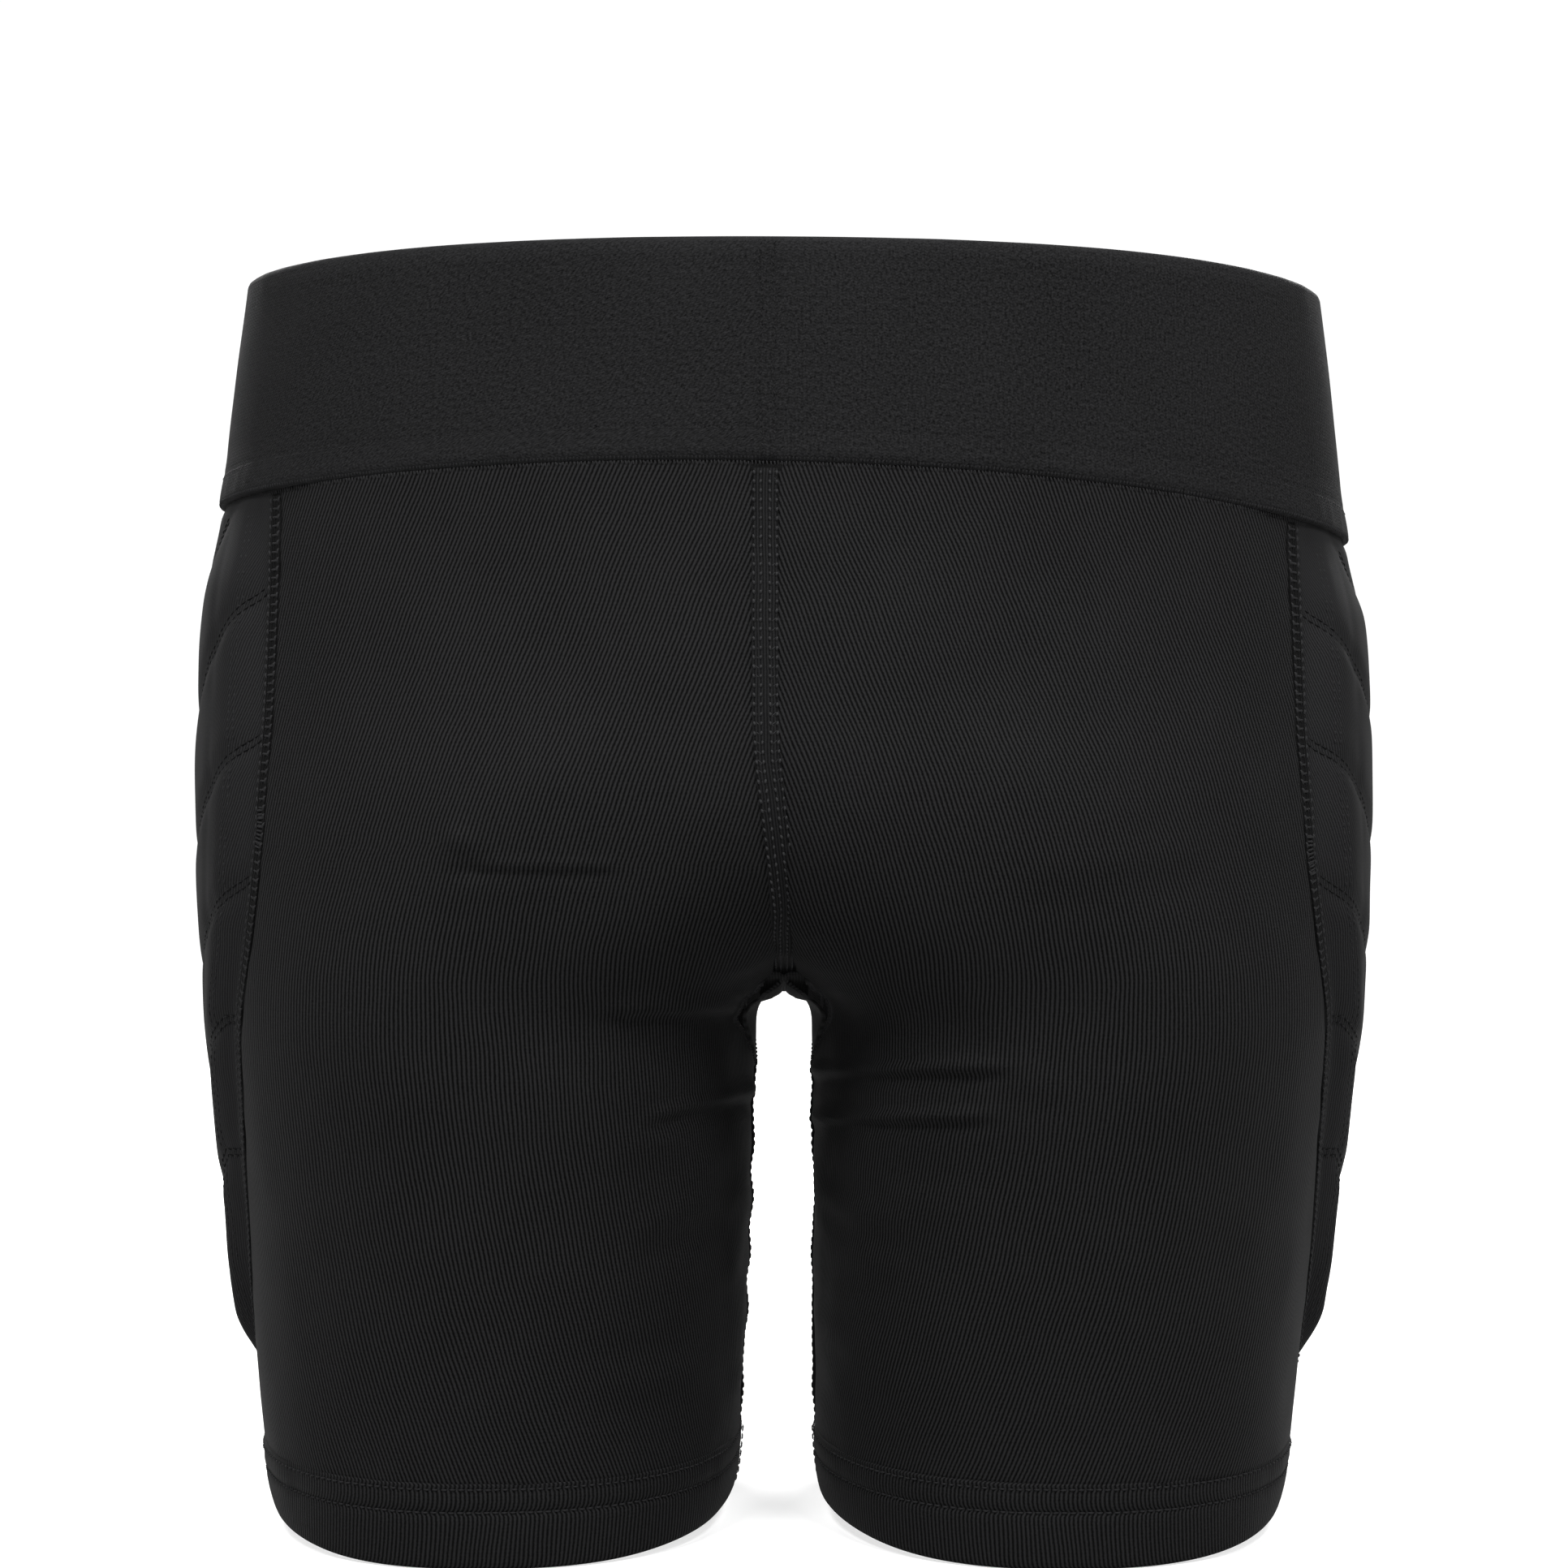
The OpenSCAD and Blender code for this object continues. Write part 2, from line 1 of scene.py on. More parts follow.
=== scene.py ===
# Padded stretch shorts in their worn shape, standing on the floor with the hems at z = 0.
# +z is up, +y is the front, -y the back, and the left leg lies at -x.
# Lengths are millimetres of the design; make() scales them to the frame's metres.
# A place on the garment is an angle round one half (-180 inner, -90 back, 0 side, 90 front,
# 180 inner), a height z and a distance off the surface.
import math

import bmesh
import bpy
import numpy as np
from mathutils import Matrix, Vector


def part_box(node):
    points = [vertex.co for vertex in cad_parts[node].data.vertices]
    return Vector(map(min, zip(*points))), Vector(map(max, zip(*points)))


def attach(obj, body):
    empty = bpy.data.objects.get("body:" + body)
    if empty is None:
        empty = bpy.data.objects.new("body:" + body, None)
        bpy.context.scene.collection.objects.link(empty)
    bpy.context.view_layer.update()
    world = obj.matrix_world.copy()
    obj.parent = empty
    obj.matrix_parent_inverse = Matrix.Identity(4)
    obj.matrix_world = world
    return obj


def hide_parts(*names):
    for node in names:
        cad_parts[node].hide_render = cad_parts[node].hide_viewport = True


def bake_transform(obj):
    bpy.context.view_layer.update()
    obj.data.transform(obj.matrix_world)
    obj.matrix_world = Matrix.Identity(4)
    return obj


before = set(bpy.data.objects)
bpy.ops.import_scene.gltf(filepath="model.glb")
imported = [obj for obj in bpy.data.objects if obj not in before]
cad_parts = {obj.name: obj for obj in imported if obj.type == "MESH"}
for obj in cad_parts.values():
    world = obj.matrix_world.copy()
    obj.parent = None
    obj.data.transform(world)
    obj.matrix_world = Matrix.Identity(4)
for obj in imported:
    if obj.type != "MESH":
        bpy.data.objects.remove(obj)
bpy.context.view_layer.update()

# ---------------------------------------------------------------- driving sizes
HEIGHT = 392.0
MM = float(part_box("waistband")[1][2]) / HEIGHT  # metres to one design millimetre
SIDES = {"left": -1, "right": 1}
MID_Y = 6.625         # plane that front and back depths are measured from

BAND_Z = 326.0        # waistband's lower edge on the middle plane
BAND_HEIGHT = HEIGHT - BAND_Z
BAND_DIP = 10.0       # drop of that edge at full hip width
BAND_THICK = 2.4
FABRIC_GAP = 0.5
BAND_FACE = FABRIC_GAP + BAND_THICK
CROTCH_Z = 167.0
PAD_TIP_Z = 44.0      # lower point of the side pads
HEM_Z = 25.5          # top of the hem band
KNIT_THICK = 1.2

HIP, HEM_WIDTH, WAIST = 178.0, 160.0, 169.2       # half widths
GAP_TOP, GAP_HEM = 9.6, 14.0                      # half gaps between the legs
ARCH_DEPTH = 14                                   # height of the rounded top of that gap
POWER = 2.25                                      # superellipse power of a cross-section
GUSSET_LOW, GUSSET_HIGH = CROTCH_Z - 24.0, CROTCH_Z + 3.2
GUSSET_HALF = 57.0                                # half length, front to back
SIDE_SEAM_HALF, INSEAM_HALF, CENTRE_HALF = 2.65, 2.5, 3.8

CAM_DISTANCE, CAM_Z = 1050.0, 232.6
VIEW_WIDTH = 508.4210526                          # seen width at MID_Y

# z, half width of the whole garment
SIDE = np.array([
    [0, HEM_WIDTH], [24, HEM_WIDTH + 2.5], [68, HEM_WIDTH + 6.4],
    [116, HEM_WIDTH + 0.6 * (HIP - HEM_WIDTH)], [160, HEM_WIDTH + 0.82 * (HIP - HEM_WIDTH)],
    [210, HIP - 0.7], [250, HIP], [290, HIP - 0.4], [326, HIP - 2],
    [360, WAIST + 3.5], [392, WAIST]])
# z, depth behind MID_Y
BACK = np.array([
    [0, 89], [24, 91], [68, 96], [116, 104.5], [150, 112.5], [187, 119.5], [225, 122],
    [270, 118], [326, 110], [392, 104.0]])
# z, depth in front of MID_Y
FRONT = np.array([
    [0, 87], [24, 88], [68, 93], [116, 98], [150, 101], [187, 103], [225, 104],
    [270, 105], [326, 106], [392, 104.0]])
# z, half width of the side pad in degrees
PAD_WIDTH = np.array([
    [PAD_TIP_Z, 8], [79, 14.5], [132, 26], [193, 35], [240, 34.5], [280, 32.5], [392, 29.0]])


# ---------------------------------------------------------------- number helpers
def clamp(t, low=0.0, high=1.0):
    return np.clip(t, low, high)


def ease(t):
    """Smooth step from 0 to 1."""
    t = clamp(t)
    return t * t * (3 - 2 * t)


def bell(x, width=1.0):
    return np.exp(-(x / width) ** 2)


def unit(v):
    return v / np.maximum(1e-9, np.linalg.norm(v, axis=-1, keepdims=True))


def lengths(points):
    """Running length along the last row of points."""
    steps = np.linalg.norm(np.diff(points, axis=-2), axis=-1)
    return np.concatenate([np.zeros(steps.shape[:-1] + (1,)), np.cumsum(steps, axis=-1)], -1)


def curve(table, z):
    """Smooth curve through a table of z and value."""
    z = np.asarray(z, float)
    knots, values = table.T
    last = len(knots) - 1
    i = clamp(np.searchsorted(knots, z, side="right") - 1, 0, last - 1).astype(int)
    k = np.arange(last + 1)
    before, after = np.maximum(k - 1, 0), np.minimum(k + 1, last)
    slope = (values[after] - values[before]) / (knots[after] - knots[before])
    step = knots[i + 1] - knots[i]
    t = clamp((z - knots[i]) / step)
    t2, t3 = t * t, t ** 3
    return ((2 * t3 - 3 * t2 + 1) * values[i] + (t3 - 2 * t2 + t) * step * slope[i]
            + (3 * t2 - 2 * t3) * values[i + 1] + (t3 - t2) * step * slope[i + 1])


def noise(u, v, seed):
    """Smooth seeded value noise of two arrays, about -1 to 1."""
    iu, iv = np.floor(u).astype(int), np.floor(v).astype(int)
    fu, fv = u - iu, v - iv
    fu, fv = fu * fu * (3 - 2 * fu), fv * fv * (3 - 2 * fv)

    def corner(i, j):
        n = (i * 374761393 + j * 668265263 + seed * 1442695041) & 0x7FFFFFFF
        n = ((n ^ (n >> 13)) * 1274126177) & 0x7FFFFFFF
        return ((n ^ (n >> 16)) & 0xFFFF) / 32767.5 - 1

    return ((corner(iu, iv) * (1 - fu) + corner(iu + 1, iv) * fu) * (1 - fv)
            + (corner(iu, iv + 1) * (1 - fu) + corner(iu + 1, iv + 1) * fu) * fv)


# ---------------------------------------------------------------- smooth body shape
def leg_gap(z):
    """Closeness to the top of the arch (1 at the crotch) and the half gap between the legs."""
    depth = np.maximum(0, CROTCH_Z - np.asarray(z, float))
    near = 1 - np.minimum(depth, ARCH_DEPTH) / ARCH_DEPTH
    return near, GAP_TOP + (GAP_HEM - GAP_TOP) * depth / CROTCH_Z


def section(z):
    """Centre x, centre y, half x and half y of the right half's cross-section."""
    z = np.asarray(z, float)
    width, back, front = curve(SIDE, z), curve(BACK, z), curve(FRONT, z)
    split = (1 - clamp((z - CROTCH_Z) / (BAND_Z - CROTCH_Z))) ** 2.5
    near, gap = leg_gap(z)
    gap = (1 - near * near) * gap
    up = z >= CROTCH_Z
    return (np.where(up, split * width / (1 + split), (width + gap) / 2),
            (front - back) / 2 + MID_Y,
            np.where(up, width / (1 + split), (width - gap) / 2), (front + back) / 2)


def angle_x(z, x):
    """Angle at which the section reaches x >= 0."""
    centre_x, _, half_x, _ = section(z)
    r = (centre_x - x) / half_x
    turn = np.arccos(clamp(-np.sign(r) * np.abs(r) ** (POWER / 2), -1, 1))
    return np.where(r >= 1, 180.0, np.degrees(turn))


def angle_past(z, x):
    """Like angle_x, but x may be negative, past the middle plane."""
    near = angle_x(z, np.abs(x))
    return np.where(x >= 0, near, 2 * angle_x(z, 0) - near)


def angle_y(z, y):
    return 180 - np.degrees(np.arcsin(np.minimum(1, y / section(z)[3]) ** (POWER / 2)))


def arch_more(z):
    """Extra half gap that rounds the top of the arch between the legs."""
    near, gap = leg_gap(z)
    return np.maximum(0, (np.sqrt(np.maximum(0, 1 - near ** 3.4)) - (1 - near * near)) * gap)


def surface(angle, z):
    """Point of the right half; past the middle plane it carries on over the left half."""
    angle, z = np.broadcast_arrays(np.asarray(angle, float), np.asarray(z, float))
    centre_x, centre_y, half_x, half_y = section(z)
    limit = angle_x(z, 0)
    over = (np.abs(angle) > limit) & (z > CROTCH_Z)
    inside = np.where(over, np.sign(angle) * (2 * limit - np.abs(angle)), angle)
    turn = np.radians(inside)

    def rounded(c):
        return np.sign(c) * np.abs(c) ** (2 / POWER)

    x = (centre_x + half_x * rounded(np.cos(turn))
         + arch_more(z) * ease((np.abs(inside) - 138) / 30))
    y = centre_y + half_y * rounded(np.sin(turn))
    return np.stack([np.where(over, -x, x), y, z], -1)


def normal(angle, z):
    return unit(np.cross(surface(angle + 0.6, z) - surface(angle - 0.6, z),
                         surface(angle, z + 0.8) - surface(angle, z - 0.8)))


def arc(angle, z, length):
    """Degrees that span a length round the surface."""
    chord = surface(angle + 1, z) - surface(angle - 1, z)
    return 2 * length / np.linalg.norm(chord, axis=-1)


def band_low(angle):
    """Height of the waistband's lower edge."""
    return BAND_Z - BAND_DIP * (np.abs(surface(angle, BAND_Z)[..., 0]) / HIP) ** 2


PAD_TOP = float(band_low(0.0))


def pad_half(z):
    """Half width of the side pad in degrees, rounded off at its tip."""
    z = np.asarray(z, float)
    tip = np.sqrt(1 - (1 - clamp((z - PAD_TIP_Z) / 45)) ** 2)
    return np.where(z <= PAD_TIP_Z, 0, curve(PAD_WIDTH, z) * tip)


def pad_angle(z, outside):
    """Angle of a line that lies a length outside the pad's edge."""
    edge = pad_half(z)
    return edge + arc(edge, z, outside)


def gusset_y(z):
    rise = clamp((z - GUSSET_LOW) / (GUSSET_HIGH - GUSSET_LOW))
    return INSEAM_HALF + (GUSSET_HALF - INSEAM_HALF) * rise ** 0.85


# ---------------------------------------------------------------- folds and lean
# Each fold: x start, x end, z, tilt, height, width.
# "seen" and "low" folds are laid out as the camera sees them.
FOLDS = {
    1: {"low": [(9, 72, 139.8, 0.02, 1.5, 2.4), (9, 66, 124.4, 0.02, 1.5, 2.4)],
        "back": [(12, 40, 104, -0.1, 0.8, 4.5), (70, 118, 207, 0.12, 0.5, 6),
                 (34, 86, 158, -0.3, 0.4, 5.0)],
        "seen": []},
    -1: {"low": [(8, 56, 159.6, -0.03, 1.2, 2.6), (8, 44, 134.0, -0.24, 1.4, 2.6)],
         "back": [(12, 44, 105, -0.15, 0.9, 5.0)],
         "seen": [(56, 106, 206.4, 0.0, 0.8, 2.1)]}}
FRONT_FOLDS = [(18, 95, 186, 0.34, 1.5, 6.5), (16, 78, 164, 0.22, 1.6, 6),
               (14, 60, 139, 0.08, 1.3, 6), (60, 135, 232, 0.25, 0.9, 8)]


def fold(x, z, x0, x1, z0, tilt, height, width):
    """A soft fold along x, with the hollow under it."""
    c = (z - z0 - tilt * (x - x0)) / width
    window = ease((x - x0) / 9 + 0.5) * (1 - ease((x - x1) / (0.3 * (x1 - x0)) + 0.6))
    return height * window * (bell(c) - 0.75 * bell(c + 1.5))


def folds(x, z, table):
    return sum(fold(x, z, *row) for row in table)


def drape(sign, angle, z):
    """How far the worn knit stands off its smooth shape."""
    angle, z = np.broadcast_arrays(np.asarray(angle, float), np.asarray(z, float))
    point = surface(angle, z)
    x, y = point[..., 0], point[..., 1] - MID_Y
    back, front = ease((-y - 5) / 40), ease((y - 5) / 40)
    inner = ease((np.abs(angle) - 95) / 50) * (z < 185)
    seed = 3 if sign > 0 else 7
    lift = (0.55 * noise(angle / 24 + 9 * sign, z / 46, seed)
            + 0.25 * noise(angle / 9, z / 20 + 5, seed + 1))
    # full seat with a hollow under it
    seat = ease((150 - x) / 60) * back
    hollow = 3.4 * bell(z - 168, 21) * ease((140 - x) / 70)
    lift += seat * (3.0 * bell(z - 226, 28) - hollow)
    zoom = CAM_DISTANCE / (CAM_DISTANCE + np.minimum(y, 0))
    seen_x, seen_z = x * zoom, CAM_Z + (z - CAM_Z) * zoom
    table = FOLDS[sign]
    lift += ease((5 - y) / 25) * folds(seen_x, seen_z, table["low"])
    lift += back * (folds(x, z, table["back"]) + folds(seen_x, seen_z, table["seen"]))
    if sign < 0:
        # a small bump over a dent on the left of the back
        bump = bell(seen_x - 104, 4.4) * bell(seen_z - 213.5, 4.6)
        dent = bell(seen_x - 100, 5) * bell(seen_z - 205.5, 3.4)
        lift += back * (1.5 * bump - 1.5 * dent)
    # drag lines at the front of the hip and round the inner thigh
    lift += front * folds(x, z, FRONT_FOLDS)
    lift += inner * 0.7 * noise(y / 22 + 3, z / 9, seed + 4)
    # calm at the hem and towards the waistband
    return lift * (ease((z - 26) / 14) * (1 - 0.85 * ease((z - 285) / 25)))


def settle(points, sign, angle):
    """Mirror to the side, curl the hem up a little at the sides and lean both legs."""
    points = np.array(points, float)
    x, z = points[..., 0], points[..., 2]  # views, so the steps below change the points
    curl = (np.exp(-np.maximum(z, 0) / 11.0) * np.abs(np.cos(np.radians(angle))) ** 3
            * (z < 60))
    x -= 2.6 * curl * np.sign(x - section(np.clip(z, 0, CROTCH_Z))[0])
    out = clamp(np.abs(x) / HIP)
    z += 6.0 * curl - 2.0 * out ** 2 * ease((z - 336) / 56)
    high = ease((z - 225) / 95)
    tilt = sign * 0.024 * x * (1 - 0.75 * ease((z - 335) / 50))
    z -= high * (tilt + (3.0 if sign > 0 else 0.5) * out ** 4)
    x *= sign
    x -= 2.2 * ease((CROTCH_Z - z) / CROTCH_Z)
    return points


def skin(sign, angle, z, off):
    """Points on the garment: side -1 left or 1 right, angle, height and distance off it."""
    angle, z = np.broadcast_arrays(np.asarray(angle, float), np.asarray(z, float))
    lift = (np.asarray(off) + drape(sign, angle, z))[..., None]
    return settle(surface(angle, z) + lift * normal(angle, z), sign, angle)


# ---------------------------------------------------------------- mesh building
# A mesh here is a pair: points in mm and faces.
def make(name, mesh, mat=None, uv=None):
    """Object from a mesh; uv is a pair of grids shared by both faces of a shell."""
    points, faces = mesh
    data = bpy.data.meshes.new(name)
    points = np.asarray(points, float).reshape(-1, 3) * MM
    faces = np.asarray(faces, np.int32)
    data.vertices.add(len(points))
    data.vertices.foreach_set("co", points.ravel().astype(np.float32))
    data.loops.add(faces.size)
    data.loops.foreach_set("vertex_index", faces.ravel())
    data.polygons.add(len(faces))
    starts = np.arange(0, faces.size, faces.shape[1], dtype=np.int32)
    data.polygons.foreach_set("loop_start", starts)
    data.polygons.foreach_set("use_smooth", np.full(len(faces), True))
    data.update(calc_edges=True)
    data.validate()
    if uv is not None:
        uv = np.stack(np.broadcast_arrays(*uv), -1).reshape(-1, 2).astype(float)
        uv = np.concatenate([uv, uv])[faces.ravel()]
        layer = data.uv_layers.new(name="UVMap")
        layer.data.foreach_set("uv", uv.ravel().astype(np.float32))
    obj = bpy.data.objects.new(name, data)
    bpy.context.scene.collection.objects.link(obj)
    if mat is not None:
        data.materials.append(mat)
    return obj


def outward(name, mesh, mat, uv=None):
    """Make a closed mesh whose faces look outward whatever way they were listed."""
    points, faces = np.asarray(mesh[0], float), np.asarray(mesh[1])
    a, b, c, d = (points[faces[:, k]] for k in range(4))
    volume = (np.einsum("ij,ij->i", a, np.cross(b, c)).sum()
              + np.einsum("ij,ij->i", a, np.cross(c, d)).sum())
    return make(name, (points, faces if volume > 0 else faces[:, ::-1]), mat, uv)


def quads(rows, columns, ring=False):
    i, j = np.meshgrid(np.arange(rows - 1), np.arange(columns if ring else columns - 1),
                       indexing="ij")
    right = (j + 1) % columns
    return np.stack([i * columns + j, i * columns + right, (i + 1) * columns + right,
                     (i + 1) * columns + j], -1).reshape(-1, 4)


def shell(out, inn, ring=False, flip=False):
    """Closed mesh between two grids of points of one shape."""
    n, m = out.shape[:2]
    points = np.concatenate([out.reshape(-1, 3), inn.reshape(-1, 3)])
    count = n * m
    sheet_faces = quads(n, m, ring)
    j = np.arange(m if ring else m - 1)
    low, low_next = j, (j + 1) % m
    high, high_next = (n - 1) * m + low, (n - 1) * m + low_next
    faces = [sheet_faces, count + sheet_faces[:, [0, 3, 2, 1]],
             np.stack([low_next, low, low + count, low_next + count], -1),
             np.stack([high, high_next, high_next + count, high + count], -1)]
    if not ring:
        a = np.arange(n - 1) * m
        b = a + m - 1
        faces.append(np.stack([a, a + m, a + m + count, a + count], -1))
        faces.append(np.stack([b + m, b, b + count, b + m + count], -1))
    faces = np.concatenate(faces)
    return points, faces[:, ::-1] if flip else faces


def join(*meshes):
    points, faces, count = [], [], 0
    for some_points, some_faces in meshes:
        points.append(some_points)
        faces.append(some_faces + count)
        count += len(some_points)
    return np.concatenate(points), np.concatenate(faces)


def mapped(mapping, mesh):
    return mapping(mesh[0]), mesh[1]


def on_grid(mapping, along, across, off):
    """Map broadcast grids of along, across and off to a grid of points."""
    grid = np.stack(np.broadcast_arrays(along, across, off), -1).astype(float)
    return mapping(grid.reshape(-1, 3)).reshape(grid.shape)


def edge_round(rows, columns):
    """1 inside a grid and less at its rim, so a cut edge reads as rounded."""
    weight = np.ones((rows, columns))
    weight[0] = weight[-1] = 0.35
    weight[:, 0] = weight[:, -1] = 0.35
    return weight


def sheet(name, sign, angle, z, low, high, mat, lift=0.0):
    """Fabric sheet from grids of angle and height (rows go up, columns forward)."""
    angle, z = np.broadcast_arrays(angle, z)
    rows, columns = angle.shape
    weight = edge_round(rows, columns)
    mid = (low + high) / 2
    out = skin(sign, angle, z, mid + (high - mid) * weight + lift)
    inn = skin(sign, angle, z, mid + (low - mid) * weight + lift)
    u = lengths(out)
    if abs(angle.mean()) < 20:
        u -= u[:, [columns // 2]]
    else:
        # front and back panels measure u from the line 85 mm off the middle plane
        x = np.abs(surface(angle, z)[..., 0])
        for i in range(rows):
            k = np.arange(columns)
            if x[i, -1] <= x[i, 0]:
                k = k[::-1]
            k = k[np.abs(angle[i, k]) <= 128]
            u[i] -= np.interp(85.0, x[i, k], u[i, k])
    return make(name, shell(out, inn, flip=sign < 0), mat, (u, z))


def ring_band(name, out, inn, z, mat, flip=False):
    """Closed band whose u runs round once; its two ends are welded."""
    out, inn = (np.concatenate([grid, grid[:, :1]], 1) for grid in (out, inn))
    points, faces = shell(out, inn, flip=flip)
    faces = faces[:-2 * (len(out) - 1)]  # no walls between the welded ends
    obj = make(name, (points, faces), mat, (lengths(out), z))
    mesh = bmesh.new()
    mesh.from_mesh(obj.data)
    bmesh.ops.remove_doubles(mesh, verts=mesh.verts, dist=1e-6)
    mesh.to_mesh(obj.data)
    mesh.free()
    return obj


# ---------------------------------------------------------------- stitches and seam lines
# Stitches are laid out flat as (along, across, off) and then mapped on to the garment.
THREAD_SIDES, THREAD_RINGS = 6, 5


def tubes(starts, ends, radius, lift):
    """Little thread tubes that dive in at both ends."""
    t = np.linspace(0, 1, THREAD_RINGS)
    run = ends - starts
    up = np.array([0.0, 0.0, 1.0])
    across = unit(np.cross(unit(run), up))[:, None, None]
    centre = starts[:, None] + t[None, :, None] * run[:, None]
    centre[..., 2] += lift * (1 - (2 * t - 1) ** 2)[None] - 0.12
    taper = np.sqrt(np.maximum(0.0, 1 - (2 * t - 1) ** 4)) * 0.85 + 0.15
    radius = np.broadcast_to(radius, (len(starts),))[:, None, None] * taper[None, :, None]
    turn = np.arange(THREAD_SIDES) / THREAD_SIDES * 2 * np.pi
    points = (centre[:, :, None] + (radius * np.cos(turn))[..., None] * across
              + (radius * 0.8 * np.sin(turn))[..., None] * up)
    cap = np.array([[0, 1, 2, 3], [0, 3, 4, 5]])
    last = (THREAD_RINGS - 1) * THREAD_SIDES
    one = np.concatenate([quads(THREAD_RINGS, THREAD_SIDES, ring=True), cap[:, ::-1],
                          cap + last])[:, ::-1]
    step = THREAD_RINGS * THREAD_SIDES
    faces = one[None] + (np.arange(len(starts)) * step)[:, None, None]
    return points.reshape(-1, 3), faces.reshape(-1, 4)


def stitches(start, end, across0, across1, off, along, pitch, radius, lift, seed, jitter,
             uneven):
    """A row of threads, each running `along` forward and from across0 to across1."""
    random = np.random.default_rng(seed)
    count = max(1, int((end - start) / pitch))
    place_along = start + (np.arange(count) + 0.5) * (end - start) / count
    shift = random.normal(0, jitter, (count, 4))
    off = np.full(count, float(off))
    first = np.stack([place_along - along / 2 + shift[:, 0], across0 + shift[:, 1], off], -1)
    second = np.stack([place_along + along / 2 + shift[:, 2], across1 + shift[:, 3], off], -1)
    return tubes(first, second, radius * (1 + random.normal(0, uneven, count)), lift)


def dashes(start, end, across, off, seed, pitch=2.6, length=1.8, radius=0.3, slant=0.0,
           lift=0.35):
    """Stitches that follow the row."""
    return stitches(start, end, across - slant / 2, across + slant / 2, off, length, pitch,
                    radius, lift, seed, jitter=0.05, uneven=0.06)


def rungs(start, end, across0, across1, off, seed, radius, lift, pitch=2.6, skew=0.0,
          jitter=0.08):
    """Stitches that cross the row."""
    return stitches(start, end, across0, across1, off, skew, pitch, radius, lift, seed,
                    jitter, uneven=0.07)


class SeamLine:
    """A line on the garment that maps (along, across, off) to points."""

    def __init__(self, sign, angle, z, off=0.0):
        self.sign, self.angle, self.z = sign, np.asarray(angle, float), np.asarray(z, float)
        self.off = np.broadcast_to(np.asarray(off, float), self.angle.shape)
        self.along = lengths(skin(sign, self.angle, self.z, self.off))
        self.length = self.along[-1]

    def at(self, along):
        return np.interp(along, self.along, self.angle), np.interp(along, self.along, self.z)

    def __call__(self, flat):
        along, across, off = flat.T
        angle, z = self.at(along)
        own_off = np.interp(along, self.along, self.off)
        forward = unit(surface(*self.at(along + 0.8)) - surface(*self.at(along - 0.8)))
        out = normal(angle, z)
        lift = own_off + off + drape(self.sign, angle, z)
        points = (surface(angle, z) + lift[:, None] * out
                  + across[:, None] * np.cross(forward, out))
        past = np.maximum(0, along - self.length) + np.minimum(0, along)
        return settle(points + past[:, None] * forward, self.sign, angle)


def ribbon(line, half_section):
    """Raised strip along a seam and its uv, from (across, height) pairs, edge to middle."""
    half = np.array(half_section)
    whole = np.concatenate([half * [-1, 1], half[-2::-1]])
    steps = max(2, int(line.length / 1.35))
    along = np.linspace(0, line.length, steps)[:, None]
    along, across = np.broadcast_arrays(along, whole[:, 0])
    wave = 0.12 * np.sin(along * 2 * np.pi / 2.7) + 0.10 * noise(along / 5, across, 77)
    across = across * (1 + 0.05 * noise(along / 7.0, along * 0, 5))
    out = on_grid(line, along, across, whole[:, 1] + wave)
    return shell(out, on_grid(line, along, across, -0.1)), (across, along)


# ---------------------------------------------------------------- shader building
SHEEN, SPECULAR, TONE = 0.05, 0.11, 0.335  # overall scale of sheen, highlights and greys
TURN = 2 * math.pi


class Value:
    """A shader node output; operators and methods add nodes fed by it."""

    def __init__(self, shader, socket):
        self.shader, self.socket = shader, socket

    def math(self, kind, *others):
        node = self.shader.node("ShaderNodeMath", *enumerate((self,) + others))
        node.operation = kind
        return Value(self.shader, node.outputs[0])

    def __add__(self, other):
        return self.math("ADD", other)

    def __sub__(self, other):
        return self.math("SUBTRACT", other)

    def __mul__(self, other):
        return self.math("MULTIPLY", other)

    def sine(self):
        return self.math("SINE")

    def scale_add(self, scale, add):
        return self.math("MULTIPLY_ADD", scale, add)

    def noise(self, scale, detail=2.0, rough=0.5):
        node = self.shader.node("ShaderNodeTexNoise", ("Vector", self), ("Scale", scale),
                                ("Detail", detail), ("Roughness", rough))
        return Value(self.shader, node.outputs[0])

    def voronoi(self, scale, randomness=1.0):
        node = self.shader.node("ShaderNodeTexVoronoi", ("Vector", self), ("Scale", scale),
                                ("Randomness", randomness))
        return Value(self.shader, node.outputs[0])

    def remap(self, from_low, from_high, to_low, to_high):
        inputs = enumerate((self, from_low, from_high, to_low, to_high))
        return Value(self.shader, self.shader.node("ShaderNodeMapRange", *inputs).outputs[0])

    def mix(self, first, second):
        """Colour mix with this value as its factor."""
        node = self.shader.tree.nodes.new("ShaderNodeMix")
        node.data_type = "RGBA"
        for key, value in ((0, self), (6, first), (7, second)):
            self.shader.put(node.inputs[key], value)
        return Value(self.shader, node.outputs[2])

    def bump(self, strength, distance):
        node = self.shader.node("ShaderNodeBump", ("Strength", strength),
                                ("Distance", distance), ("Height", self))
        return Value(self.shader, node.outputs[0])


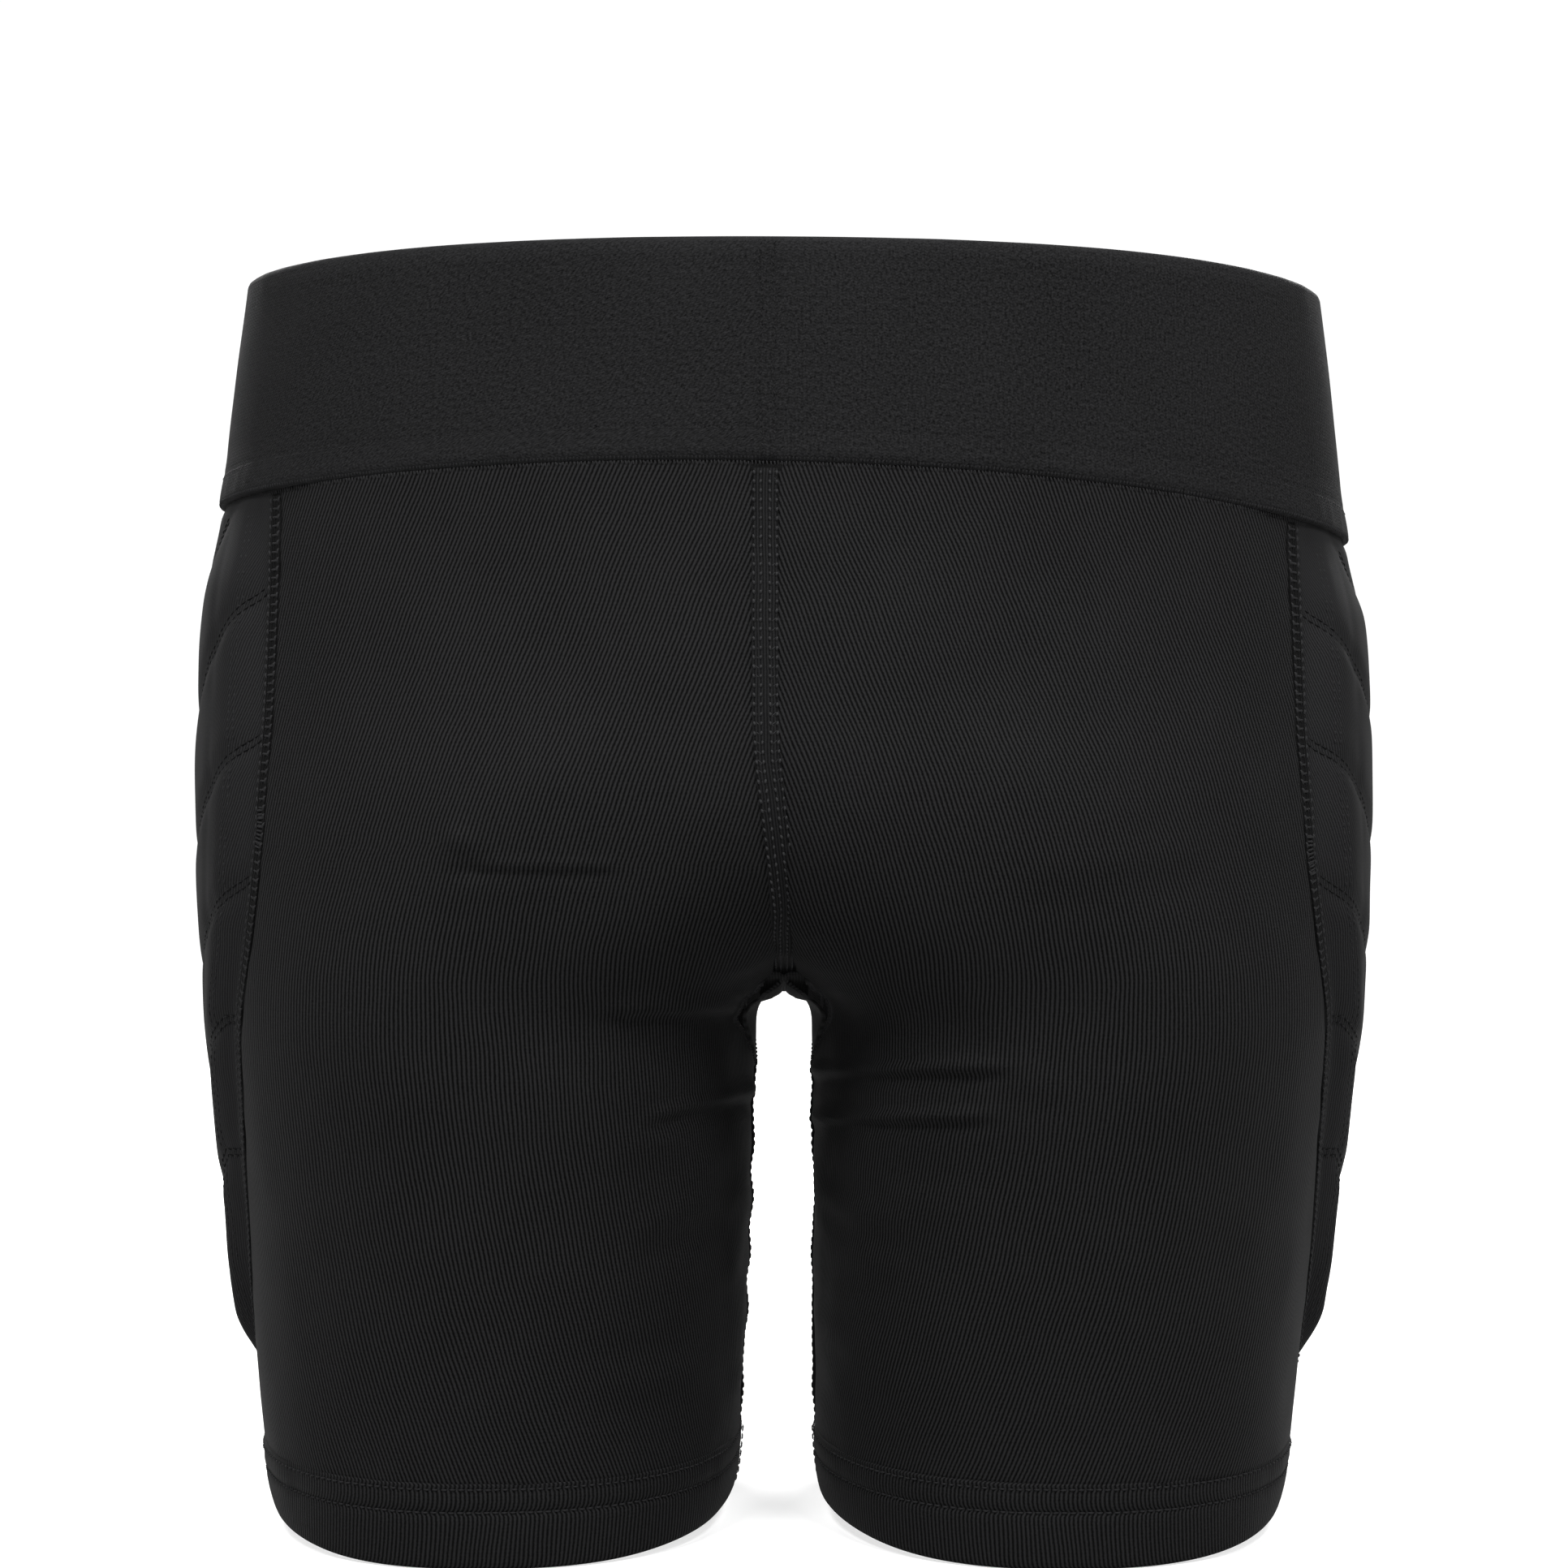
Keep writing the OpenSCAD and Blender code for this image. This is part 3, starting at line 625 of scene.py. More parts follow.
class Shader:
    def __init__(self, name):
        self.material = bpy.data.materials.new(name)
        self.material.use_nodes = True
        self.tree = self.material.node_tree
        self.tree.nodes.clear()
        output = self.tree.nodes.new("ShaderNodeOutputMaterial")
        self.surface = self.tree.nodes.new("ShaderNodeBsdfPrincipled")
        self.tree.links.new(self.surface.outputs[0], output.inputs[0])

    def put(self, socket, value):
        if isinstance(value, Value):
            self.tree.links.new(value.socket, socket)
        else:
            socket.default_value = value

    def node(self, kind, *inputs):
        node = self.tree.nodes.new(kind)
        for key, value in inputs:
            self.put(node.inputs[key], value)
        return node

    def uv(self):
        """The UV vector and its two parts, in mm."""
        node = self.node("ShaderNodeUVMap")
        node.uv_map = "UVMap"
        uv = Value(self, node.outputs[0])
        parts = self.node("ShaderNodeSeparateXYZ", (0, uv)).outputs
        return uv, Value(self, parts[0]), Value(self, parts[1])

    def object_place(self):
        return Value(self, self.node("ShaderNodeTexCoord").outputs["Object"])

    def finish(self, color, rough, normal, sheen, specular):
        for key, value in (("Base Color", color), ("Roughness", rough),
                           ("Specular IOR Level", specular * SPECULAR),
                           ("Sheen Weight", sheen * SHEEN), ("Sheen Roughness", 0.5),
                           ("Sheen Tint", (1, 1, 1, 1)), ("Normal", normal)):
            self.put(self.surface.inputs[key], value)
        return self.material


def grey(value):
    value *= TONE
    return (value, value, value * 1.04, 1)


# ---------------------------------------------------------------- materials
def knit_material(name, dark, light, wale=1.34, lean=0.0014, vary=0.1, bump=0.55, twill=0.0):
    """Stretch knit: bowed wales `wale` mm apart, small loops, lint and slow shading."""
    course = 1.05  # height of a loop, mm
    shader = Shader(name)
    uv, x, y = shader.uv()
    # the wales bow outward below z = 172 and lean above it
    height = y - 172.0
    up, low = height.math("MAXIMUM", 0.0), height.math("MINIMUM", 0.0)
    up = (up * up + 900.0).math("SQRT") - 30.0
    bow = up * (300.0 * lean) + low * low * lean
    wobble = (uv.noise(scale=0.025) - 0.5) * 3.0
    fine = (uv.noise(scale=0.9) - 0.5) * 0.3
    rib = ((x + bow + wobble + fine + y * twill) * (TURN / wale)).sine()
    loop = (y * (TURN / course) + rib * 1.3).sine()
    grain = uv.noise(scale=1.5, detail=3, rough=0.7)
    ridge = rib.scale_add(0.5, 0.5)
    relief_height = ridge * 0.8 + loop * 0.07 + grain * 0.35
    slow = uv.noise(scale=0.028, detail=3, rough=0.55)
    shade = ridge * 1.05 + grain.scale_add(0.95, -0.225) + (slow - 0.5) * (vary * 2)
    shade = shade + loop * 0.04 - 0.28
    lint = uv.noise(scale=1.7, detail=1, rough=0.4).remap(0.80, 0.86, 0.0, 1.0)
    shade = (shade + lint * 0.8).math("MAXIMUM", 0.0).math("MINIMUM", 1.6)
    return shader.finish(
        color=shade.mix(grey(dark), grey(light)),
        rough=(ridge + slow * 0.6).remap(0.0, 1.6, 0.8, 0.62),
        normal=relief_height.bump(strength=bump, distance=0.00022), sheen=0.3, specular=0.3)


def elastic_material(name, dark, light):
    """Woven elastic: vertical cords crossed by a fine broken grain."""
    cord_pitch, weft_pitch = 1.15, 0.85
    shader = Shader(name)
    uv, x, y = shader.uv()
    wavy_x = x + (uv.noise(scale=0.5) - 0.5) * 0.5
    cord = (wavy_x * (TURN / cord_pitch)).sine()
    pair = (wavy_x * (TURN / (2 * cord_pitch))).sine()
    weft = (y * (TURN / weft_pitch) + pair * 1.6).sine()
    stretched = shader.node("ShaderNodeCombineXYZ", (0, x * 1.0), (1, y * 0.75), (2, 0.0))
    grain = Value(shader, stretched.outputs[0]).noise(scale=1.25, detail=3, rough=0.75)
    slow = uv.noise(scale=0.02, detail=3)
    relief_height = cord * 0.16 + weft * 0.2 + grain * 0.9
    shade = grain.remap(0.32, 0.68, 0.0, 1.0) + (slow - 0.5) * 0.25
    shade = shade + cord.scale_add(0.5, 0.5) * 0.06
    # the rim and the lower edge are a little paler
    rim = y.remap(HEIGHT - 6.0, HEIGHT, 0.0, 0.35)
    low = y.remap(BAND_Z + 6.0, BAND_Z, 0.0, 0.12)
    return shader.finish(
        color=(shade + rim + low).mix(grey(dark), grey(light)),
        rough=grain.remap(0.2, 0.8, 0.85, 0.66),
        normal=relief_height.bump(strength=0.6, distance=0.0003), sheen=0.28, specular=0.25)


def thread_material(name, dark, light):
    """Twisted thread."""
    shader = Shader(name)
    place_in = shader.object_place()
    fine = place_in.noise(scale=2600, rough=0.6)
    slow = place_in.noise(scale=160)
    return shader.finish(
        color=(fine * 0.7 + slow * 0.35).mix(grey(dark), grey(light)),
        rough=fine.remap(0.2, 0.8, 0.7, 0.45),
        normal=fine.bump(strength=0.5, distance=0.0002), sheen=0.3, specular=0.35)


def foam_material(name):
    shader = Shader(name)
    place_in = shader.object_place()
    cell = place_in.voronoi(scale=900)
    slow = place_in.noise(scale=60, detail=3)
    return shader.finish(
        color=(cell * 0.8 + slow * 0.4).mix(grey(0.08), grey(0.2)),
        rough=slow.remap(0.2, 0.8, 0.8, 0.95),
        normal=cell.bump(strength=0.5, distance=0.0003), sheen=0.05, specular=0.2)


def lining_material(name):
    """Thin mesh lining: cells pressed into the knit."""
    shader = Shader(name)
    uv, _, _ = shader.uv()
    hole = uv.voronoi(scale=0.55, randomness=0.25).remap(0.12, 0.34, 0.0, 1.0)
    grain = uv.noise(scale=1.9)
    return shader.finish(
        color=(hole * 0.6 + grain * 0.4).mix(grey(0.006), grey(0.035)),
        rough=grain.remap(0.2, 0.8, 0.85, 0.7),
        normal=hole.bump(strength=0.7, distance=0.0004), sheen=0.2, specular=0.25)


def satin_material(name):
    shader = Shader(name)
    uv, x, y = shader.uv()
    weave = (y * 11.0 + (x * 14.0).sine() * 1.2).sine()
    slow = uv.noise(scale=0.4, detail=3)
    return shader.finish(
        color=(weave * 0.12 + slow).mix((0.42, 0.42, 0.41, 1), (0.62, 0.62, 0.6, 1)),
        rough=slow.remap(0.2, 0.8, 0.35, 0.55),
        normal=weave.bump(strength=0.3, distance=0.0001), sheen=0.2, specular=0.5)


def floor_material():
    """Pale paper that reads white to the camera and throws little light back up."""
    shader = Shader("floor_paper")
    grain = shader.object_place().noise(scale=14, detail=4)
    distance = shader.node("ShaderNodeVectorMath", (0, shader.object_place()))
    distance.operation = "LENGTH"
    glow = Value(shader, distance.outputs["Value"]).remap(0.25, 0.9, 0.62, 1.0)
    camera_ray = Value(shader, shader.node("ShaderNodeLightPath").outputs["Is Camera Ray"])
    shader.put(shader.surface.inputs["Emission Color"], (1, 1, 1, 1))
    shader.put(shader.surface.inputs["Emission Strength"], glow * camera_ray)
    return shader.finish(
        color=grain.mix((0.4, 0.4, 0.4, 1), (0.44, 0.44, 0.44, 1)),
        rough=grain.remap(0.2, 0.8, 0.85, 0.95),
        normal=shader.object_place().noise(scale=900).bump(strength=0.05, distance=0.0002),
        sheen=0.0, specular=0.2)


M_KNIT = knit_material("stretch_knit", dark=0.001, light=0.034)
M_KNIT_FRONT = knit_material("stretch_knit_front", dark=0.001, light=0.034)
M_COVER = knit_material("pad_cover_knit", dark=0.012, light=0.036, wale=0.9, lean=0.0,
                        vary=0.12, bump=0.3, twill=0.3)
M_HEM = knit_material("hem_knit", dark=0.002, light=0.033, lean=0.0)
M_BAND = elastic_material("elastic_webbing", dark=0.003, light=0.036)
M_THREAD = thread_material("seam_thread", dark=0.014, light=0.05)
M_FLATLOCK = thread_material("flatlock_thread", dark=0.022, light=0.08)
M_LADDER = thread_material("ladder_thread", dark=0.014, light=0.06)
M_DARK_THREAD = thread_material("dark_thread", dark=0.009, light=0.032)
# darker copy of the seam-allowance knit: painted shade along the side seams
M_SIDE_SEAM_TAPE_SHADED = knit_material("side_seam_tape_painted_shade", dark=0.002, light=0.012, wale=0.9, lean=0.0, bump=0.3)
M_TAPE = knit_material("seam_allowance", dark=0.007, light=0.024, wale=0.9, lean=0.0,
                       bump=0.3)
# dark cord under the band's seam; the same dark material also paints the shadow in the
# quilting grooves
M_CORD_AND_GROOVE_SHADOW = thread_material("inner_cord_and_painted_groove_shadow", dark=0.002, light=0.01)
M_FOAM = foam_material("closed_cell_foam")
M_LINING = lining_material("mesh_lining")
M_LABEL = satin_material("blank_satin")


def place(obj, part=None, body="seat", side=None):
    """Tie an object to a body, or bake it in place for a side; hide the CAD piece it replaces.
    """
    if side:
        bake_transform(obj)
    else:
        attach(obj, body)
    if part:
        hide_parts(part)


# ---------------------------------------------------------------- knit panels
def drift(z):
    """The centre back seam lies a few millimetres to the left above the seat."""
    return -5.4 * ease((np.asarray(z, float) - 178) / 75)


def centre_half(z):
    return CENTRE_HALF - 1.1 * (1 - ease((z - GUSSET_HIGH) / 40))


def edge_angle(sign, z, facing):
    """Inner edge of a knit panel, a little under the seam."""
    centre = sign * drift(z) if facing < 0 else 0 * z
    beside_centre = angle_past(z, centre + centre_half(z) - 0.9)
    y = np.where(z < GUSSET_LOW, INSEAM_HALF - 0.9, gusset_y(z) + 0.2)
    return np.minimum(beside_centre, angle_y(z, y))


def panel_steps():
    """Shares of the panel's height and width; rows are denser where it folds."""
    rows = int((BAND_Z - HEM_Z) / (2.2))
    up = np.unique(np.concatenate([
        np.linspace(0, 1, rows), [0.001, 0.999], np.linspace(0.35, 0.50, 40),
        np.linspace(0.60, 0.67, 16)]))
    up = up[np.concatenate([[True, True], np.diff(up)[1:] > 0.0016])]
    up[-1] = 1.0
    rim = np.array((0.25, 0.9)) / 210.0  # thin steps at both edges of a 210 mm wide panel
    inside = np.linspace(rim[-1] * 2, 1 - rim[-1] * 2, 92)
    return up, np.unique(np.concatenate([[0], rim, inside, 1 - rim, [1]]))


def knit_panel(side, facing):
    sign = SIDES[side]
    up, across = panel_steps()
    low = HEM_Z - 1.2
    top = band_low(facing * (90 - 52 * across)) + 0.8
    z = low + up[:, None] * (top[None] - low)
    inner = edge_angle(sign, z, facing)
    outer = pad_angle(z, SIDE_SEAM_HALF - 1.0)
    angle = inner + (outer - inner) * across[None]
    from_inner = np.abs(inner - angle) / arc(angle, z, 1.0)
    from_outer = np.abs(angle - outer) / arc(angle, z, 1.0)
    rows = z / 8.5
    pucker = (0.30 * bell(from_outer, 5.5) * noise(rows * 1.1, from_outer / 9, 21)
              + 0.28 * bell(from_inner, 6) * noise(rows * 0.9, from_inner / 9, 22)
              + 0.25 * bell(z - HEM_Z, 7) * noise(angle / 6.5, z / 30, 23)
              + 0.22 * bell(top[None] - z, 8) * noise(angle / 5.0, z / 30, 24))
    # the fabric dips as it runs under each seam
    lift = pucker - 0.35 * bell(from_outer, 1.6) - 0.35 * bell(from_inner, 1.6)
    order = slice(None) if facing < 0 else slice(None, None, -1)
    part = f"{side}_{'back' if facing < 0 else 'front'}_panel"
    panel = sheet("v_" + part, sign, facing * angle[:, order], z[:, order], 0.0, KNIT_THICK,
                  M_KNIT if facing < 0 else M_KNIT_FRONT, lift[:, order])
    place(panel, part, side=side)


for side in SIDES:
    for facing in (-1, 1):
        knit_panel(side, facing)

# ---------------------------------------------------------------- waistband
GROOVE_UP = 9.0  # height of the stitched groove over the lower edge


def loop_shares(count):
    """-1 at the centre back to 1 at the centre front."""
    return -1 + 2 * np.arange(count + 1) / count


def body_loop(count, share, off):
    """Points round the band: right half back to front, then the left half front to back."""
    turn = loop_shares(count)
    low = band_low(90 * turn)
    z = low + (HEIGHT - low) * share
    angle = turn * angle_x(z, 0)
    points = (surface(angle, z)
              + np.broadcast_to(off, turn.shape)[:, None] * normal(angle, z))
    points[0, 0] = points[-1, 0] = 0
    return np.concatenate([settle(points, 1, angle),
                           settle(points[1:-1][::-1], -1, angle[1:-1][::-1])])


def relief(turn, up):
    """Fullness of the band, its stitched groove and ripples; turn is -90 back to 90 front."""
    turn, up = np.broadcast_arrays(np.asarray(turn, float), np.asarray(up, float))
    out = (0.2 * np.sin(np.pi * clamp((up - GROOVE_UP) / (BAND_HEIGHT - GROOVE_UP)))
           + 0.04 * np.sin(np.pi * clamp(up / GROOVE_UP)) - 0.13 * bell(up - GROOVE_UP, 0.9))
    # the lower strip stands out over the tops of the pads
    pad = ease((46 - np.abs(turn)) / 22)
    out = out + 1.3 * ease((15 - up) / 15) * pad - 0.95 * bell(up, 1.7) * (1 - pad)
    out = out + 0.10 * noise(turn / 3.1, up / 22, 31) + 0.25 * noise(turn / 17, up / 40, 32)
    return out + 0.22 * bell(up - 4, 4.5) * noise(turn / 1.9, 0 * turn, 33)


def waistband():
    count = 260
    rows = np.unique(np.concatenate([
        np.linspace(0, 1, 34), [0.006, 0.02, 0.045, 0.955, 0.98, 0.993],
        0.137 + np.array([-0.02, -0.01, 0, 0.01, 0.02])]))
    mid = FABRIC_GAP + BAND_THICK / 2
    out, inn = [], []
    for share in rows:
        up = share * BAND_HEIGHT
        rounding = math.sqrt(clamp(min(up, BAND_HEIGHT - up) / 1.3))
        half = BAND_THICK * (0.35 + 0.65 * rounding) / 2
        wave = relief(90 * loop_shares(count), up)
        out.append(body_loop(count, share, mid + half + wave))
        inn.append(body_loop(count, share, mid - half + 0.4 * wave))
    z = (BAND_Z + rows * BAND_HEIGHT)[:, None]
    place(ring_band("v_waistband", np.array(out), np.array(inn), z, M_BAND),
          "waistband")


waistband()


def band_map():
    """Mapping of (along, up, off) on to the band's outer face, from the centre back, and
    the band's length."""
    count = 360
    loop = body_loop(count, 0, 0)
    along = lengths(np.concatenate([loop, loop[:1]]))
    half = loop_shares(count)
    shares = np.concatenate([half, 2 + half[1:]])  # -1 to 1 right, 1 to 3 left

    def mapping(flat):
        share = np.interp(np.mod(flat[:, 0], along[-1]), along, shares)
        left = share > 1
        turn = np.where(left, 2 - share, share)
        low = band_low(90 * turn)
        z = low + flat[:, 1]
        angle = turn * angle_x(z, 0)
        up = BAND_HEIGHT * (z - low) / (HEIGHT - low)
        off = flat[:, 2] + relief(90 * turn, up) * (flat[:, 1] > 0)
        points = surface(angle, z) + off[:, None] * normal(angle, z)
        return np.where(left[:, None], settle(points, -1, angle), settle(points, 1, angle))

    return mapping, along[-1]


ON_BAND, BAND_LENGTH = band_map()


def topstitch():
    mesh = join(
        dashes(0, BAND_LENGTH, GROOVE_UP, BAND_FACE - 0.25, seed=41, length=1.95, radius=0.27),
        rungs(0, BAND_LENGTH, GROOVE_UP - 0.8, GROOVE_UP + 0.8, FABRIC_GAP - 0.15, seed=42,
              radius=0.2, skew=1.3, lift=-0.3))
    place(outward("v_waistband_topstitch", mapped(ON_BAND, mesh), M_DARK_THREAD),
          "waistband_topstitch")


def attach_seam():
    """Overlock loops just under the band's lower edge, over a soft cord."""
    pitch = 1.08
    mesh = join(
        rungs(0, BAND_LENGTH, 0.15, 1.55, BAND_FACE - 0.5, seed=43, pitch=pitch, radius=0.25,
              skew=0.2, lift=0.45, jitter=0.07),
        rungs(0, BAND_LENGTH, 0.3, -1.4, FABRIC_GAP + 0.9, seed=44, pitch=pitch, radius=0.22,
              skew=0.3, lift=0.2, jitter=0.07))
    place(outward("v_waistband_attach_seam", mapped(ON_BAND, mesh), M_LADDER),
          "waistband_attach_seam")
    along = np.linspace(0, BAND_LENGTH, 700, endpoint=False)
    # cord section: up, off
    up, off = np.array([(-3.4, 0.5), (-3.0, 0.8), (-2.0, 0.95), (-1.0, 0.95), (0.2, 0.9),
                        (0.9, 0.7)]).T[:, :, None]
    cord = shell(on_grid(ON_BAND, along, up, off), on_grid(ON_BAND, along, up, 0.2), ring=True)
    place(outward("v_waistband_attach_cord", cord, M_CORD_AND_GROOVE_SHADOW))


def join_seam():
    """The band's upright join: a pressed lap with two wavering rows."""
    centre = BAND_LENGTH - 4.9
    up = np.linspace(0.4, BAND_HEIGHT - 0.6, 60)[:, None]
    # lap section: across, off the band's face
    across, off = np.array([(-3.2, -0.5), (-2.6, 0.08), (0.0, 0.16), (2.6, 0.1),
                            (3.2, -0.5)]).T
    wave = 0.35 * np.sin(up / 5.2) + 0.3 * noise(up / 6, up * 0, 45)
    along = centre + across + wave
    lap = shell(on_grid(ON_BAND, along, up, BAND_FACE + off),
                on_grid(ON_BAND, along, up, BAND_FACE - 0.8))
    place(outward("v_waistband_join_lap", lap, M_BAND, (centre + across, BAND_Z + up)))
    rows = []
    count = 33
    up = 1.2 + (np.arange(count) + 0.5) * (BAND_HEIGHT - 2.4) / count
    zigzag = 0.35 * (-1.0) ** np.arange(count)
    face = np.full(count, BAND_FACE + 0.05)
    for shift, phase in ((-2.0, 0.0), (1.9, 1.7)):
        sway = 0.45 * np.sin(up / 3.4 + phase) + 0.35 * np.sin(up / 1.9 + 2 * phase)
        along = centre + (0.35 * np.sin(up / 5.2) + shift + sway * 0.6)
        rows.append(tubes(np.stack([along - zigzag, up - 0.75, face], -1),
                          np.stack([along + zigzag, up + 0.75, face], -1), 0.24, 0.3))
    place(outward("v_waistband_join_seam", mapped(ON_BAND, join(*rows)), M_DARK_THREAD),
          "waistband_join_seam")


def care_label():
    """A blank tab inside the band, at the right of the back."""
    width, height = 25, 39
    up, across = np.meshgrid(np.linspace(0, 1, 28), np.linspace(0, 1, 16), indexing="ij")
    z = 342 + height * up
    angle = -76.5 + 9 * across
    curl = (0.9 * np.sin(np.pi * up) * np.sin(np.pi * across) + 1.6 * (1 - up) ** 3
            + 0.3 * noise(across * 3, up * 4, 51))
    mesh = shell(skin(1, angle, z, -0.15 - curl), skin(1, angle, z, -0.5 - curl))
    place(make("v_care_label", mesh, M_LABEL, (across * width, up * height)),
          "care_label")


topstitch()
attach_seam()
join_seam()
care_label()

# ---------------------------------------------------------------- hems
# outer z, outer off, inner z, inner off; grooves lie under the two stitch rows
HEM_SECTION = np.array([
    (0.25, 1.3, 0.25, 1.2), (0.0, 1.75, 0.35, 0.5), (0.35, 2.15, 0.6, 0.2),
    (1.2, 2.35, 1.2, 0.0), (3, 2.4, 3, -0.05), (6, 2.35, 6, 0.0), (10, 2.3, 10, 0.0),
    (14, 2.2, 14, 0.0), (15.8, 2.05, 15.8, 0.1), (16.6, 1.65, 16.6, 0.2),
    (17, 1.5, 17, 0.25), (17.4, 1.65, 17.4, 0.2), (18.4, 1.95, 18.4, 0.1),
    (20.4, 2.05, 20.4, 0.0), (22.8, 1.85, 22.8, 0.1), (23.6, 1.6, 23.6, 0.2),
    (24, 1.5, 24, 0.25), (24.4, 1.55, 24.4, 0.2), (25.0, 1.6, 25.0, 0.1),
    (25.5, 1.4, 25.5, 0.1), (25.7, 1.0, 25.7, 0.5)])
HEM_ROWS = (17.0, 24.0)


def hem(side):
    sign = SIDES[side]
    thigh = f"{side}_thigh"

    def ripple(angle, z):
        return (0.22 * noise(angle / 4.6, angle * 0, 60 + sign) * bell(z - 20, 9)
                + 0.45 * noise(angle / 21, angle * 0 + 3, 62 + sign))

    count = 260
    angle = -180 + 360 * np.arange(count) / count
    outer_z, outer_off, inner_z, inner_off = HEM_SECTION.T[:, :, None]
    wave = ripple(angle, outer_z)
    band = ring_band(f"v_{side}_hem_band", skin(sign, angle, outer_z, outer_off + wave),
                     skin(sign, angle, inner_z, inner_off + wave), outer_z, M_HEM,
                     flip=sign < 0)
    place(band, f"{side}_hem_band", body=thigh)
    # two coverstitch rows outside and the looper threads inside
    rows = []
    angle = np.linspace(-180, 180, 500)
    for k, z in enumerate(HEM_ROWS):
        wave, level = ripple(angle, z), np.full(500, z)
        outside = SeamLine(sign, angle, level, 1.72 + wave)
        inside = SeamLine(sign, angle, level, wave)
        rows.append(mapped(outside, dashes(0, outside.length, 0.0, 0, seed=63 + k,
                                           length=2.0, lift=0.38)))
        rows.append(mapped(inside, rungs(0, inside.length, -1.3, 1.3, -0.1, seed=66 + k,
                                         radius=0.2, skew=1.4, lift=-0.25)))
    place(outward(f"v_{side}_hem_stitch", join(*rows), M_THREAD),
          f"{side}_hem_stitch", body=thigh)


for side in SIDES:
    hem(side)

# ---------------------------------------------------------------- side pads
# Quilted lines are chevrons: PITCH apart, dropping DROP to the middle, the first at QUILT_TOP.
PITCH, DROP, QUILT_TOP = 42.6, 38.0, 322.0
COVER_EDGE = 1.0 - SIDE_SEAM_HALF   # cover's edge from the pad's edge line
BORDER_IN = 3.2                     # border stitches from the foam's inset
FOAM_OFF = 0.9


def pad_full(z):
    return 6.0 * (0.55 + 0.45 * ease((BAND_Z - BAND_DIP - z) / 45))


def foam_inset(z):
    return 6 + 7.5 * ease((z - 60) / 70)


def pad_fade(z):
    """The pad thins out at its tip and where it runs up under the waistband."""
    low = 0.94 + 0.06 * ease((z - 70) / 90)
    return ((0.46 + 0.54 * ease((BAND_Z - BAND_DIP + 2 - z) / 30)) * low
            * (0.16 + 0.84 * ease((z - PAD_TIP_Z + 1) / 24)))


def foam_angle(z):
    """Half width of the foam in degrees."""
    return np.maximum(pad_angle(z, -(SIDE_SEAM_HALF + FABRIC_GAP + foam_inset(z))), 0.5)


def chevron(k, q):
    """Height of chevron k at q, 0 at the middle of the side and 1 at the foam's edge."""
    return QUILT_TOP - PITCH * k - DROP * (1 - q)


def top_warp(across, z):
    """Lift of the cover's upper rows so that its top follows the waistband's edge."""
    across = clamp(across, -1, 1)
    return clamp((z - 225) / 92) ** 1.5 * (band_low(34.0 * across) - PAD_TOP)


def side_cover(side):
    """The quilted cover: pinned along its stitched lines and blown up between them as cloth.

    Returns its points, their normals and its level heights."""
    sign = SIDES[side]
    low, top = PAD_TIP_Z + 2.0, PAD_TOP + 0.9
    levels = np.linspace(low, top, int((top - low) / (2.45)))
    columns = 61
    across = np.linspace(-1, 1, columns)
    z = np.repeat(levels[:, None], columns, 1)
    z = z + top_warp(across[None], z)
    edge = pad_angle(z, COVER_EDGE)
    angle = across[None] * edge
    from_side = (edge - np.abs(angle)) / arc(angle, z, 1.0)
    from_edge = np.minimum(from_side, (z - PAD_TIP_Z - 1.6) * 1.15)
    inset = foam_inset(z)
    foam = foam_angle(z)
    inside = ease(from_edge / (inset - 1.0))
    # distance to the nearest chevron, measured square to it
    nth = (chevron(0, np.minimum(np.abs(angle) / foam, 1.25)) - z) / PITCH
    slope = DROP / np.maximum(foam / arc(angle, z, 1.0), 12.0)
    quilt = np.abs(nth - np.round(nth)) * PITCH / np.sqrt(1 + slope ** 2)
    quilt = np.where((np.round(nth) < 0) | (np.round(nth) > 5.4), 99.0, quilt)
    border = np.abs(from_edge - (inset - BORDER_IN))
    fade = pad_fade(z)
    full = np.maximum(1.1, 0.2 + inside * (1.9 + pad_full(z)) * fade)
    soft = 0.3 * noise(angle / 9 + 3, z / 17, 70 + sign)
    quilt_depth = 1.7 * inside * fade + 0.35 * ease(from_edge / 3) * (1 - inside)
    off = (full - 0.1 - bell(quilt, 2.9) * quilt_depth
           - 0.5 * bell(border, 1.6) * ease((z - 62) / 20) * fade + soft * inside * fade)
    # slight extra drop along a channel near each seam
    channel = np.abs(from_edge - (inset + 9.5))
    off -= 0.4 * bell(channel, 2.6) * ease((z - 90) / 30) * inside * fade
    # the top edge runs in under the waistband
    off = off - (off - 0.9) * 0.85 * ease((z - band_low(angle) + 4.0) / 4.5)
    flat = points = skin(sign, angle, z, off)
    row = np.arange(len(levels))[:, None]
    pinned = ((from_side < 2.0) | (from_edge < 1.5) | (row <= 1) | (row >= len(levels) - 3)
              | (quilt < 1.5) | ((border < 1.25) & (z > 66)))
    points = inflate(f"sim_{side}", points, pinned, sign)
    # small tucks that leave each stitched line
    tucks = (0.12 * noise(angle * 1.1, z / 5.5, 72 + sign)
             * (bell(quilt, 6) + bell(border, 6)) * inside)
    points = points + grid_normals(points, sign) * tucks[..., None]
    normals = grid_normals(points, sign)
    half = normals * 0.6 * edge_round(*angle.shape)[..., None]
    u = lengths(flat)
    cover = make(f"v_{side}_side_cover", shell(points + half, points - half, flip=sign < 0),
                 M_COVER, (u - u[:, [columns // 2]], levels[:, None]))
    subdivide(cover, 1)
    place(cover, f"{side}_side_cover", side=side)
    return points, normals, levels


